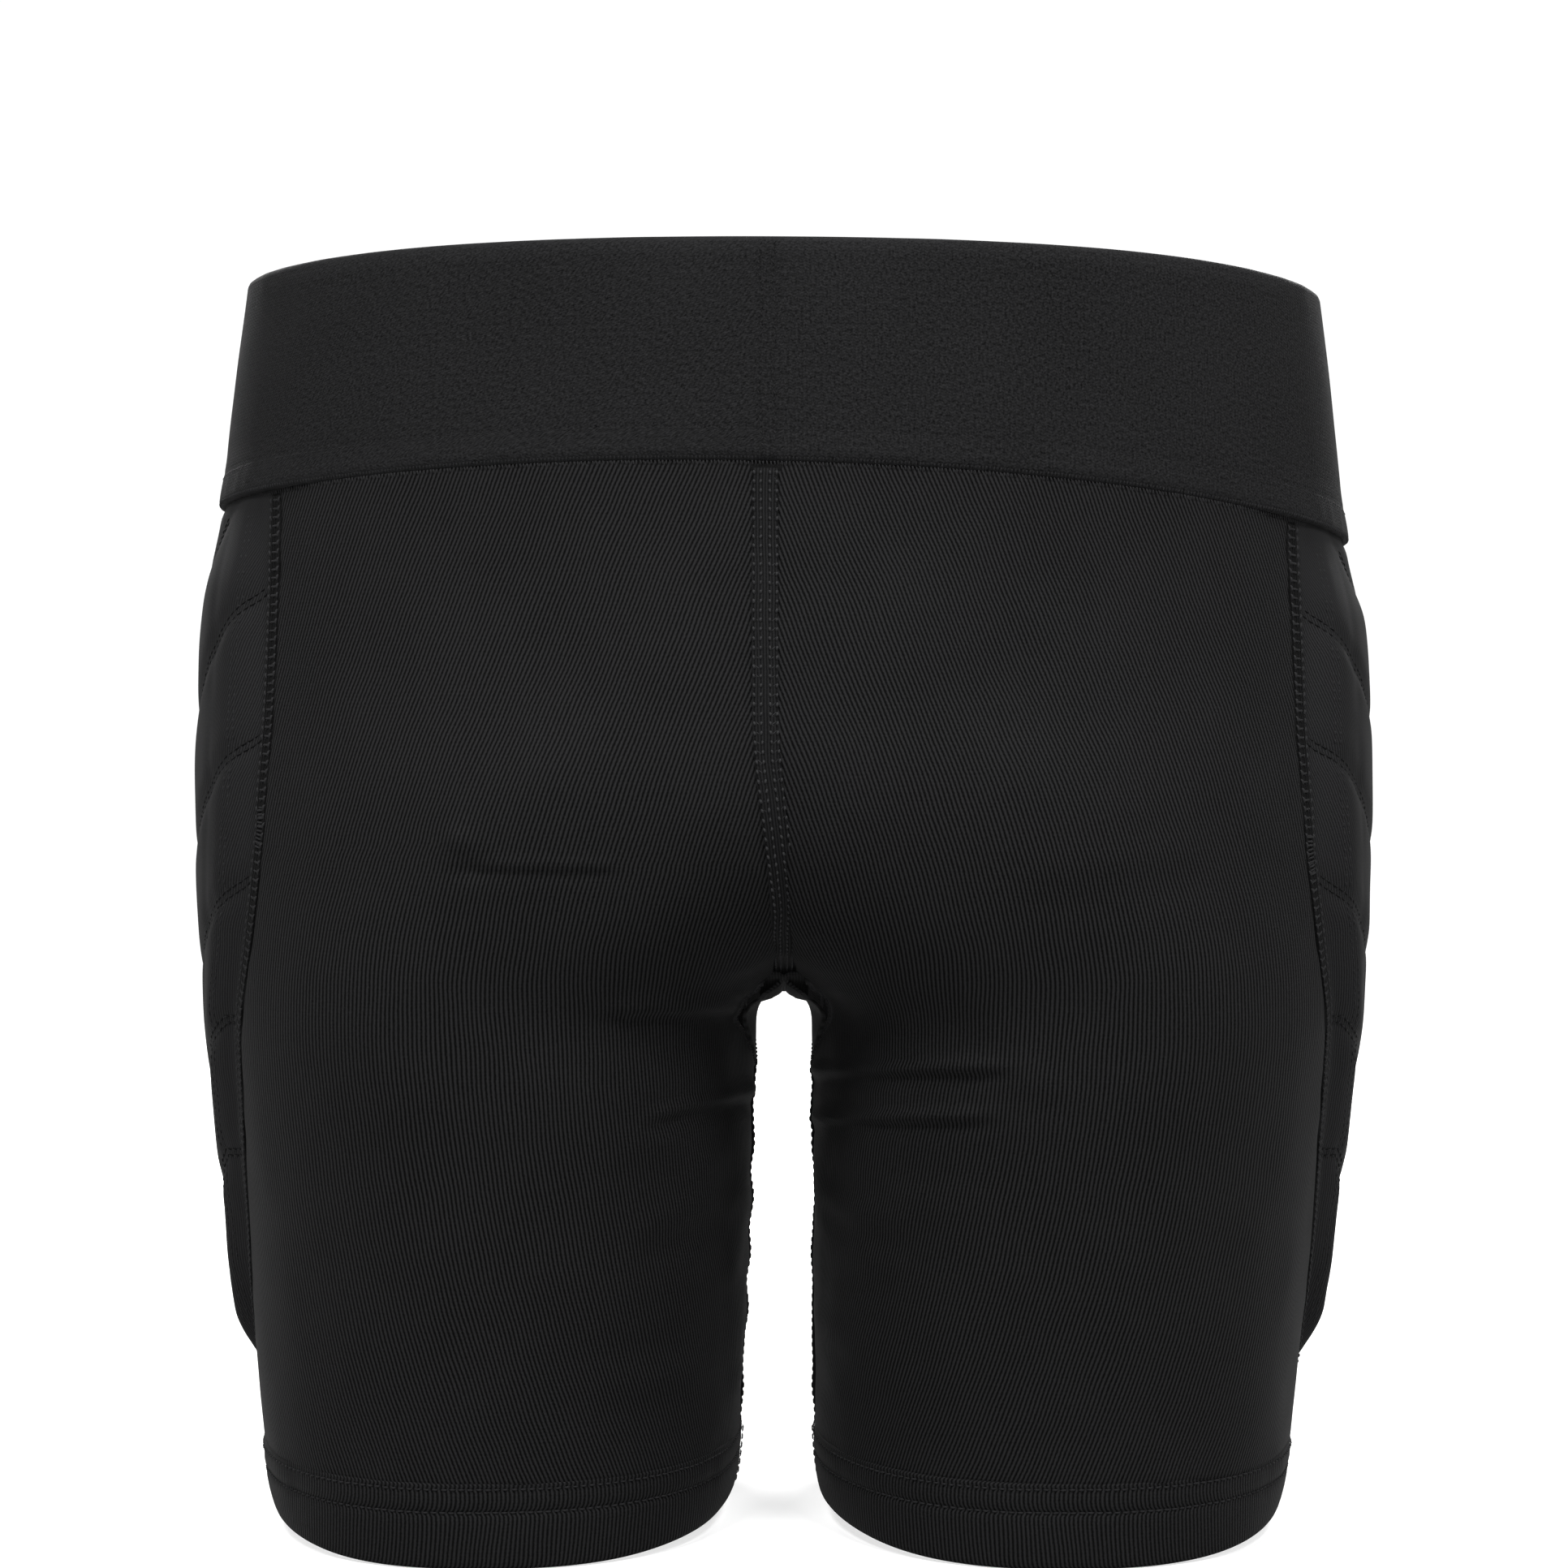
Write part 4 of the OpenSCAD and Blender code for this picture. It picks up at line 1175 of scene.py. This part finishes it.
def subdivide(obj, level):
    """Subdivide the mesh for good."""
    modifier = obj.modifiers.new("sub", "SUBSURF")
    modifier.levels = modifier.render_levels = level
    graph = bpy.context.evaluated_depsgraph_get()
    data = bpy.data.meshes.new_from_object(obj.evaluated_get(graph),
                                           preserve_all_data_layers=True, depsgraph=graph)
    old = obj.data
    obj.modifiers.clear()
    obj.data = data
    bpy.data.meshes.remove(old)


def grid_normals(points, sign):
    return unit(np.cross(np.gradient(points, axis=1), np.gradient(points, axis=0)) * sign)


def inflate(name, points, pinned, sign):
    """Blow the grid up as cloth, held at its pinned points."""
    frames = 20
    most = 0.8  # largest move kept, mm
    faces = quads(*points.shape[:2])
    obj = make(name, (points, faces if sign > 0 else faces[:, ::-1]))
    group = obj.vertex_groups.new(name="pin")
    group.add([int(k) for k in np.flatnonzero(pinned.ravel())], 1.0, "REPLACE")
    cloth = obj.modifiers.new("cloth", "CLOTH")
    settings = cloth.settings
    settings.quality = 6
    settings.mass = 0.15
    settings.tension_stiffness = settings.compression_stiffness = 12
    settings.shear_stiffness = 6
    settings.bending_stiffness = 0.35
    settings.use_pressure = True
    settings.uniform_pressure_force = 2.5
    settings.vertex_group_mass = "pin"
    settings.shrink_min = 0.0
    settings.effector_weights.gravity = 0
    cloth.collision_settings.use_collision = False
    cloth.collision_settings.use_self_collision = False
    cloth.point_cache.frame_start, cloth.point_cache.frame_end = 1, frames
    scene = bpy.context.scene
    for frame in range(1, frames + 1):
        scene.frame_set(frame)
    graph = bpy.context.evaluated_depsgraph_get()
    data = obj.evaluated_get(graph).to_mesh()
    places = np.empty(points.size, np.float32)
    data.vertices.foreach_get("co", places)
    move = places.reshape(points.shape).astype(float) / MM - points
    scene.frame_set(1)
    bpy.data.objects.remove(obj)
    size = np.linalg.norm(move, axis=-1, keepdims=True)
    return points + move * np.minimum(1, most / np.maximum(size, 1e-9))


COVERS = {side: side_cover(side) for side in SIDES}


def tip_patch(side):
    """Seam allowance behind the point where the two side seams meet under the pad."""
    z = np.linspace(PAD_TIP_Z - 8, PAD_TIP_Z + 14, 18)[:, None]
    angle = np.linspace(-1, 1, 17)[None] * arc(0 * z, z, 9.0)
    patch = sheet(f"v_{side}_tip_patch", SIDES[side], angle, z, -0.3, 0.6, M_TAPE)
    place(patch, side=side)


def pad_lining(side):
    sign = SIDES[side]
    low, top = PAD_TIP_Z + 5, PAD_TOP - 3.0
    levels = np.linspace(low, top, max(2, int((top - low) / 5.0)) + 1)
    z = np.unique(np.concatenate([levels, [low + 0.3, top - 0.3]]))[:, None]
    angle = np.linspace(-1, 1, 31)[None] * pad_angle(z, 0.6 - SIDE_SEAM_HALF)
    wave = 0.25 * noise(angle / 7, z / 14, 80 + sign)
    lining = sheet(f"v_{side}_pad_lining", sign, angle, z, -0.3 + wave, 0.5 + wave, M_LINING)
    place(lining, f"{side}_pad_lining", side=side)


def foam_block(side, k):
    """One of seven foam blocks between the chevrons, the first at the top."""
    sign = SIDES[side]
    across = np.linspace(-1, 1, 41)
    top = PAD_TOP - 6.9
    if k == 1:
        across = across * 0.58
        high = top
    else:
        high = np.minimum(chevron(k - 2, np.abs(across)) - 3.0, top)
    low = PAD_TIP_Z + 12.0 if k == 7 else chevron(k - 1, np.abs(across)) + 3.0
    up = np.linspace(0, 1, 17)[:, None]
    tall = high - low
    z = low + tall * up
    angle = across * foam_angle(z)
    from_edge = np.minimum(np.minimum(up, 1 - up) * tall,
                           (across.max() - np.abs(across)) * 55)
    rounding = np.sqrt(clamp(1 - (1 - clamp(from_edge / 2.6)) ** 2))
    # a moulded groove runs along the block so that it bends
    groove = 0.9 * bell((up - 0.5) * tall, 1.3)
    half = (pad_full(z) * 0.84 - 0.6) * pad_fade(z) / 2
    mid = FOAM_OFF + half
    half = half * (0.35 + 0.65 * rounding)
    mesh = shell(skin(sign, angle, z, mid + half - groove * rounding),
                 skin(sign, angle, z, mid - half), flip=sign < 0)
    place(make(f"v_{side}_foam_{k}", mesh, M_FOAM), f"{side}_foam_{k}", side=side)


for side in SIDES:
    tip_patch(side)

for side in SIDES:
    pad_lining(side)
    for k in range(1, 8):
        foam_block(side, k)


def cover_mapping(side):
    """Function that gives points on the finished cover from angle, height and off."""
    points, normals, levels = COVERS[side]
    rows, columns = points.shape[:2]
    edge = pad_angle(levels, COVER_EDGE)

    def on_cover(angle, z, off):
        across = angle / np.maximum(np.interp(z, levels, edge), 1e-6)
        z = z - top_warp(across, z)
        # the edge is read again at the height before the warp
        row = clamp(np.interp(z, levels, np.arange(rows)), 0, rows - 1.001)
        column = clamp((across + 1) / 2 * (columns - 1), 0, columns - 1.001)
        i, j = np.floor(row).astype(int), np.floor(column).astype(int)
        di, dj = (row - i)[:, None], (column - j)[:, None]

        def between(grid):
            return ((grid[i, j] * (1 - dj) + grid[i, j + 1] * dj) * (1 - di)
                    + (grid[i + 1, j] * (1 - dj) + grid[i + 1, j + 1] * dj) * di)

        return between(points) + between(normals) * off[:, None]

    return on_cover


def cover_row(on_cover, angle, z, shift, seed, radius, off=0.5, length=1.75):
    """Meshes (one or none) of a stitch row beside a line of angles and heights."""
    along = lengths(on_cover(angle, z, np.zeros(len(angle))))
    if along[-1] < 4:
        return []
    flat, faces = dashes(0.5, along[-1] - 0.5, 0.0, off, seed=seed, pitch=2.55,
                         length=length, radius=radius, lift=0.22)

    def at(step):
        place_along = flat[:, 0] + step
        return np.interp(place_along, along, angle), np.interp(place_along, along, z)

    zero = np.zeros(len(flat))
    forward = unit(on_cover(*at(0.7), zero) - on_cover(*at(-0.7), zero))
    out = on_cover(*at(0.0), zero + 1) - on_cover(*at(0.0), zero)
    sideways = np.cross(forward, out) * (flat[:, 1] + shift)[:, None]
    return [(on_cover(*at(0.0), flat[:, 2]) + sideways, faces)]


def cover_stitch(side):
    """Double rows of quilting stitches along the chevrons and inside each seam."""
    on_cover = cover_mapping(side)
    levels = COVERS[side][2]
    edge, pad_edge = pad_angle(levels, COVER_EDGE), pad_half(levels)
    quilt, border, channel = [], [], []
    q = np.linspace(-1.6, 1.6, 150)
    for k in range(6):
        z = chevron(k, np.minimum(np.abs(q), 1.25))
        angle = q * foam_angle(z)
        limit = np.interp(z, levels, edge) - arc(np.interp(z, levels, pad_edge), z, 1.2)
        keep = (z > PAD_TIP_Z + 10) & (z < levels[-1] - 5) & (np.abs(angle) < limit)
        if keep.sum() > 4:
            line = angle[keep], z[keep]
            for shift in (-1.05, 1.05):
                quilt += cover_row(on_cover, *line, shift, 90 + k, radius=0.23, off=0.86)
                # dark tubes under each chevron row: painted shadow in the stitched groove
                channel += cover_row(on_cover, *line, shift, 90 + k, radius=0.36, off=0.68,
                                     length=2.5)
    z = np.linspace(PAD_TIP_Z + 16, levels[-1] - 5, 120)
    angle = pad_angle(z, COVER_EDGE) - arc(pad_half(z), z, foam_inset(z) - BORDER_IN)
    for facing in (-1, 1):
        for shift in (-1.0, 1.0):
            border += cover_row(on_cover, facing * angle, z, shift, 97, radius=0.24)
    for name, rows, mat in (("quilt_stitch", quilt, M_DARK_THREAD),
                            ("border_stitch", border, M_THREAD),
                            ("quilt_groove_painted_shadow", channel, M_CORD_AND_GROOVE_SHADOW)):
        place(outward(f"v_{side}_{name}", join(*rows), mat), side=side)


for side in SIDES:
    cover_stitch(side)

# ---------------------------------------------------------------- seams
# Tape sections: half across and height, from the edge to the middle.
CENTRE_TAPE = ((3.9, 0.5), (3.4, 1.35), (2.5, 1.55), (1.2, 1.5), (0, 1.6))
SIDE_TAPE = ((2.75, 0.5), (2.35, 1.5), (1.6, 1.6), (0.0, 1.25))
INSEAM_TAPE = ((2.6, 0.5), (2.2, 1.3), (1.0, 1.5), (0, 1.35))
GUSSET_TAPE = ((1.9, 0.4), (1.5, 1.2), (0, 1.4))
SEAM_PITCH = 2.7


def taped_seam(name, line, tape_section, threads, tape_mat, thread_mat, side=None):
    tape, uv = ribbon(line, tape_section)
    place(outward(f"v_{name}_tape", tape, tape_mat, uv), side=side)
    place(outward("v_" + name, mapped(line, threads), thread_mat), name, side=side)


def centre_seam(facing):
    """Flatlock seam on the middle plane: two ladders, each of two rows crossed by rungs."""
    z = np.linspace(GUSSET_HIGH - 0.5, float(band_low(90.0)) - 2.2, 220)[::-1]
    x = drift(z) if facing < 0 else 0 * z
    line = SeamLine(1, facing * angle_past(z, x), z)
    end = line.length
    rows = []
    for k, across in enumerate((-3.35, -1.35, 1.3, 3.3)):
        rows.append(dashes(0, end, across, 1.5, seed=100 + k, pitch=SEAM_PITCH, length=1.35,
                           radius=0.36, slant=0.35 * (-1) ** k, lift=0.5))
    for k, (low, high) in enumerate(((-3.35, -1.35), (1.3, 3.3))):
        for start, skew, seed in ((0, 1.6, 110), (SEAM_PITCH / 2, -1.6, 113)):
            rows.append(rungs(start, end, low, high, 1.35, seed=seed + k, pitch=SEAM_PITCH,
                              radius=0.15, skew=skew * (-1) ** k, lift=0.15))
    flat, faces = join(*rows)
    flat[:, 1] *= centre_half(line.at(flat[:, 0])[1]) / CENTRE_HALF
    name = "centre_back_seam" if facing < 0 else "centre_front_seam"
    taped_seam(name, line, CENTRE_TAPE, (flat, faces), M_TAPE, M_FLATLOCK)


def side_seam(side, facing):
    """Ladder seam along one edge of a side pad; the back one runs on down to the hem."""
    back = facing < 0
    jog_z = 219 if side == "left" else 211
    z = np.linspace(float(band_low(facing * 34.0)) - 2.4,
                    HEM_Z + 0.2 if back else PAD_TIP_Z + 2.2, 320)
    angle = facing * (pad_half(z) + arc(0, z, 0.9 * bell(z - jog_z, 5.5)))
    line = SeamLine(SIDES[side], angle, z)
    end = line.length
    seed = 120 + 7 * (side == "right") + 3 * (not back)
    rows = [
        dashes(0, end, -2.05, 1.45, seed=seed, pitch=SEAM_PITCH, length=2.1, radius=0.4,
               slant=0.5, lift=0.4),
        dashes(0, end, 2.05, 1.45, seed=seed + 1, pitch=SEAM_PITCH, length=2.1, radius=0.4,
               slant=-0.5, lift=0.4),
        rungs(0, end, -2.0, 2.0, 1.15, seed=seed + 2, pitch=SEAM_PITCH, radius=0.34, skew=0.5,
              lift=0.55),
        rungs(0, end, -2.0, 2.0, 1.1, seed=seed + 3, pitch=SEAM_PITCH, radius=0.22, skew=-2.2,
              lift=0.35)]
    if back:
        # closer rungs over the jog
        jog = float(np.interp(-jog_z, -line.z, line.along))
        rows.append(rungs(jog - 6, jog + 6, -2.3, 2.3, 1.35, seed=seed + 4, pitch=1.2,
                          radius=0.3, skew=0.4, lift=0.6))
    # the side seams' tape uses the darker copy, painted shade
    taped_seam(f"{side}_side_seam_{'back' if back else 'front'}", line, SIDE_TAPE,
               join(*rows), M_SIDE_SEAM_TAPE_SHADED, M_LADDER, side)


def inseam(side):
    sign = SIDES[side]

    def down(top, low, count, off):
        return SeamLine(sign, np.full(count, 180.0), np.linspace(top, low, count), off)

    line = down(GUSSET_LOW + 1.0, HEM_Z + 0.2, 130, 0.0)
    end = line.length
    threads = join(dashes(0, end, -1.3, 1.35, seed=140 + sign),
                   dashes(0, end, 1.3, 1.35, seed=142 + sign),
                   rungs(0, end, -1.3, 1.3, 1.3, seed=144 + sign, radius=0.19, skew=1.2,
                         lift=0.25))
    # the two rows carry on over the folded hem
    over = down(HEM_Z - 0.6, 1.6, 40, 2.3)
    rows = join(dashes(0, over.length, -1.3, 0, seed=240 + sign, radius=0.28),
                dashes(0, over.length, 1.3, 0, seed=242 + sign, radius=0.28))
    place(outward(f"v_{side}_hem_join_stitch", mapped(over, rows), M_THREAD),
          body=f"{side}_thigh")
    taped_seam(f"{side}_inseam_seam", line, INSEAM_TAPE, threads, M_TAPE, M_THREAD, side)


centre_seam(-1)
centre_seam(1)
for side in SIDES:
    side_seam(side, -1)
    side_seam(side, 1)
    inseam(side)
# The helper names the inseam tape after its seam; the piece itself is plain "inseam".
for side in SIDES:
    bpy.data.objects[f"v_{side}_inseam_seam_tape"].name = f"v_{side}_inseam_tape"

# ---------------------------------------------------------------- crotch
CROTCH_CENTRE_Y = float(section(CROTCH_Z)[1])


def gusset_low(y):
    out = clamp((np.abs(y) - 0.2 - INSEAM_HALF) / (GUSSET_HALF - INSEAM_HALF))
    return GUSSET_LOW + (GUSSET_HIGH - GUSSET_LOW) * out ** (1 / 0.85)


def gusset_top(y):
    """Height of the body's underside on the middle plane."""
    t = np.minimum(1, np.abs(y) / section(CROTCH_Z)[3]) ** (POWER / 2)
    split = (1 - t * t) ** (1 / POWER)
    return CROTCH_Z + (BAND_Z - CROTCH_Z) * (1 - split ** (1 / 2.5))


def gusset_x(y, z):
    centre_x, _, half_x, half_y = section(z)
    inner = centre_x - half_x * (1 - np.abs(y / half_y) ** POWER) ** (1 / POWER)
    return np.maximum(0, inner) + arch_more(z) * ease((62 - np.abs(y)) / 30)


def gusset(side):
    """One side's half of the gusset and its front and back seams."""
    sign = SIDES[side]
    y, share = np.meshgrid(np.linspace(-(GUSSET_HALF - 2.5), GUSSET_HALF - 2.5, 61),
                           np.linspace(0, 1, 15), indexing="ij")
    low = gusset_low(y)
    z = low + (gusset_top(y) - low) * np.sin(np.pi / 2 * (1 - share))
    x = gusset_x(y, z)
    wave = 0.35 * noise(y / 9, share * 3, 150) * np.sin(np.pi * share)
    rise = 0.2 * bell(share, 0.10) - 1.2 * (1 - ease(share / 0.75))

    def at(off):
        off = off + wave + rise
        return np.stack([sign * np.maximum(0, x - off * np.sin(np.pi / 2 * share)),
                         y + CROTCH_CENTRE_Y, z - off * np.cos(np.pi / 2 * share)], -1)

    panel = outward(f"v_crotch_gusset_{side}", shell(at(KNIT_THICK), at(0.0)), M_KNIT_FRONT,
                    (lengths(at(0.0)), y + CROTCH_CENTRE_Y))
    place(panel, "crotch_gusset", side=side)
    rows, tapes = [], []
    for facing in (-1, 1):
        z = np.linspace(GUSSET_LOW + 0.4, GUSSET_HIGH - 0.4, 110)
        line = SeamLine(sign, facing * angle_y(z, gusset_y(z)), z)
        end = line.length
        threads = join(dashes(0, end, -0.8, 1.3, seed=152 + facing, radius=0.28),
                       dashes(0, end, 0.8, 1.3, seed=155 + facing, radius=0.28),
                       rungs(0, end, -0.8, 0.8, 1.2, seed=158 + facing, radius=0.18,
                             skew=1.0, lift=0.2))
        rows.append(mapped(line, threads))
        tapes.append(ribbon(line, GUSSET_TAPE)[0])
    place(outward(f"v_gusset_seam_{side}", join(*rows, *tapes), M_THREAD),
          "gusset_seam", side=side)


def crotch_stay():
    """Narrow strip that backs the place where the gusset and the centre seams meet."""
    y = np.linspace(-60, 60, 73)
    z = gusset_top(y)
    step_y, step_z = np.gradient(y), np.gradient(z)
    step = np.sqrt(step_y * step_y + step_z * step_z)
    out_y, out_z = (-step_z / step)[:, None], (step_y / step)[:, None]
    y, z = y[:, None], z[:, None]
    x = np.repeat(np.linspace(-7.5, 7.5, 41)[None], len(y), 0)
    droop = 0.06 * x ** 2 * (1 - ease((np.abs(y) - 26) / 22))
    # the end of the centre seam runs down it as a thin ridge
    droop = droop + 0.9 * bell(x) * ease((np.abs(y) - 12) / 30)

    def at(off):
        off = off - droop
        return np.stack([x, y + CROTCH_CENTRE_Y + out_y * off, z + out_z * off], -1)

    place(outward("v_crotch_stay", shell(at(0.35), at(-0.35)), M_TAPE, (x, y)))


def top_tab(facing):
    """Small backing where a centre seam runs in under the waistband."""
    z = np.linspace(BAND_Z - 10, BAND_Z + 3, 10)[:, None]
    x = np.linspace(-13.0 if facing < 0 else -8.0, 8.0, 22)[None]
    angle = facing * angle_past(z, x)
    mesh = shell(skin(1, angle, z, 0.35), skin(1, angle, z, -0.3))
    place(outward(f"v_centre_{'back' if facing < 0 else 'front'}_tab", mesh, M_TAPE, (x, z)))


for side in SIDES:
    gusset(side)
crotch_stay()
top_tab(-1)
top_tab(1)


# ---------------------------------------------------------------- floor, light, camera
def stage():
    count, half = 24, 6000
    grid = np.linspace(-1, 1, count)
    x, y = np.meshgrid(grid, grid, indexing="ij")
    points = np.stack([x * half, y * half, x * 0 - 0.25], -1)
    faces = quads(count, count)[:, [0, 3, 2, 1]]
    make("studio_floor", (points, faces), floor_material())


def studio_world():
    """White to the camera, dim as a light."""
    world = bpy.data.worlds.new("studio")
    bpy.context.scene.world = world
    world.use_nodes = True
    tree = world.node_tree
    background = tree.nodes["Background"]
    background.inputs["Color"].default_value = (1, 1, 1, 1)
    path = tree.nodes.new("ShaderNodeLightPath")
    strength = tree.nodes.new("ShaderNodeMapRange")
    strength.inputs["To Min"].default_value = 0.22
    strength.inputs["To Max"].default_value = 1.05
    tree.links.new(path.outputs["Is Camera Ray"], strength.inputs[0])
    tree.links.new(strength.outputs[0], background.inputs["Strength"])


def lamp(name, at, aim, size, power):
    """Square area light; places and size in metres, power in watts."""
    light = bpy.data.lights.new(name, "AREA")
    light.shape, light.size, light.size_y = "RECTANGLE", size, size
    light.energy = power
    obj = bpy.data.objects.new(name, light)
    obj.location = at
    direction = Vector(np.array(aim) - np.array(at))
    obj.rotation_euler = direction.to_track_quat("-Z", "Y").to_euler()
    bpy.context.scene.collection.objects.link(obj)


def camera():
    """Looks along +y at the back of the shorts."""
    data = bpy.data.cameras.new("camera")
    obj = bpy.data.objects.new("camera", data)
    bpy.context.scene.collection.objects.link(obj)
    data.sensor_width = 36
    data.lens = 36 * CAM_DISTANCE / VIEW_WIDTH
    data.clip_start = 0.01
    obj.location = (0.0, (MID_Y - CAM_DISTANCE) / 1000, CAM_Z / 1000)
    obj.rotation_euler = (math.pi / 2, 0, 0)
    bpy.context.scene.camera = obj


stage()
studio_world()
lamp("key_left", at=(-0.62, -1.15, 1.72), aim=(-0.05, -0.05, 0.22), size=0.5, power=36)
lamp("key_right", at=(0.66, -1.1, 1.68), aim=(0.05, -0.05, 0.22), size=0.5, power=33)
lamp("fill", at=(0.05, -2.3, 0.42), aim=(0, 0, 0.2), size=0.8, power=20)
lamp("side_left", at=(-1.5, -0.1, 0.9), aim=(0, 0, 0.2), size=0.6, power=4)
lamp("side_right", at=(1.5, -0.1, 0.9), aim=(0, 0, 0.2), size=0.6, power=4)
lamp("front_left", at=(-0.75, 1.45, 1.25), aim=(0, 0.05, 0.25), size=0.55, power=36)
lamp("front_right", at=(0.75, 1.45, 1.25), aim=(0, 0.05, 0.25), size=0.55, power=36)
lamp("top", at=(0, 0.1, 1.9), aim=(0, 0, 0.2), size=1.0, power=16)
camera()
view = bpy.context.scene.view_settings
view.view_transform = "Standard"
view.look = "None"
view.exposure = 0.0
view.gamma = 1.0
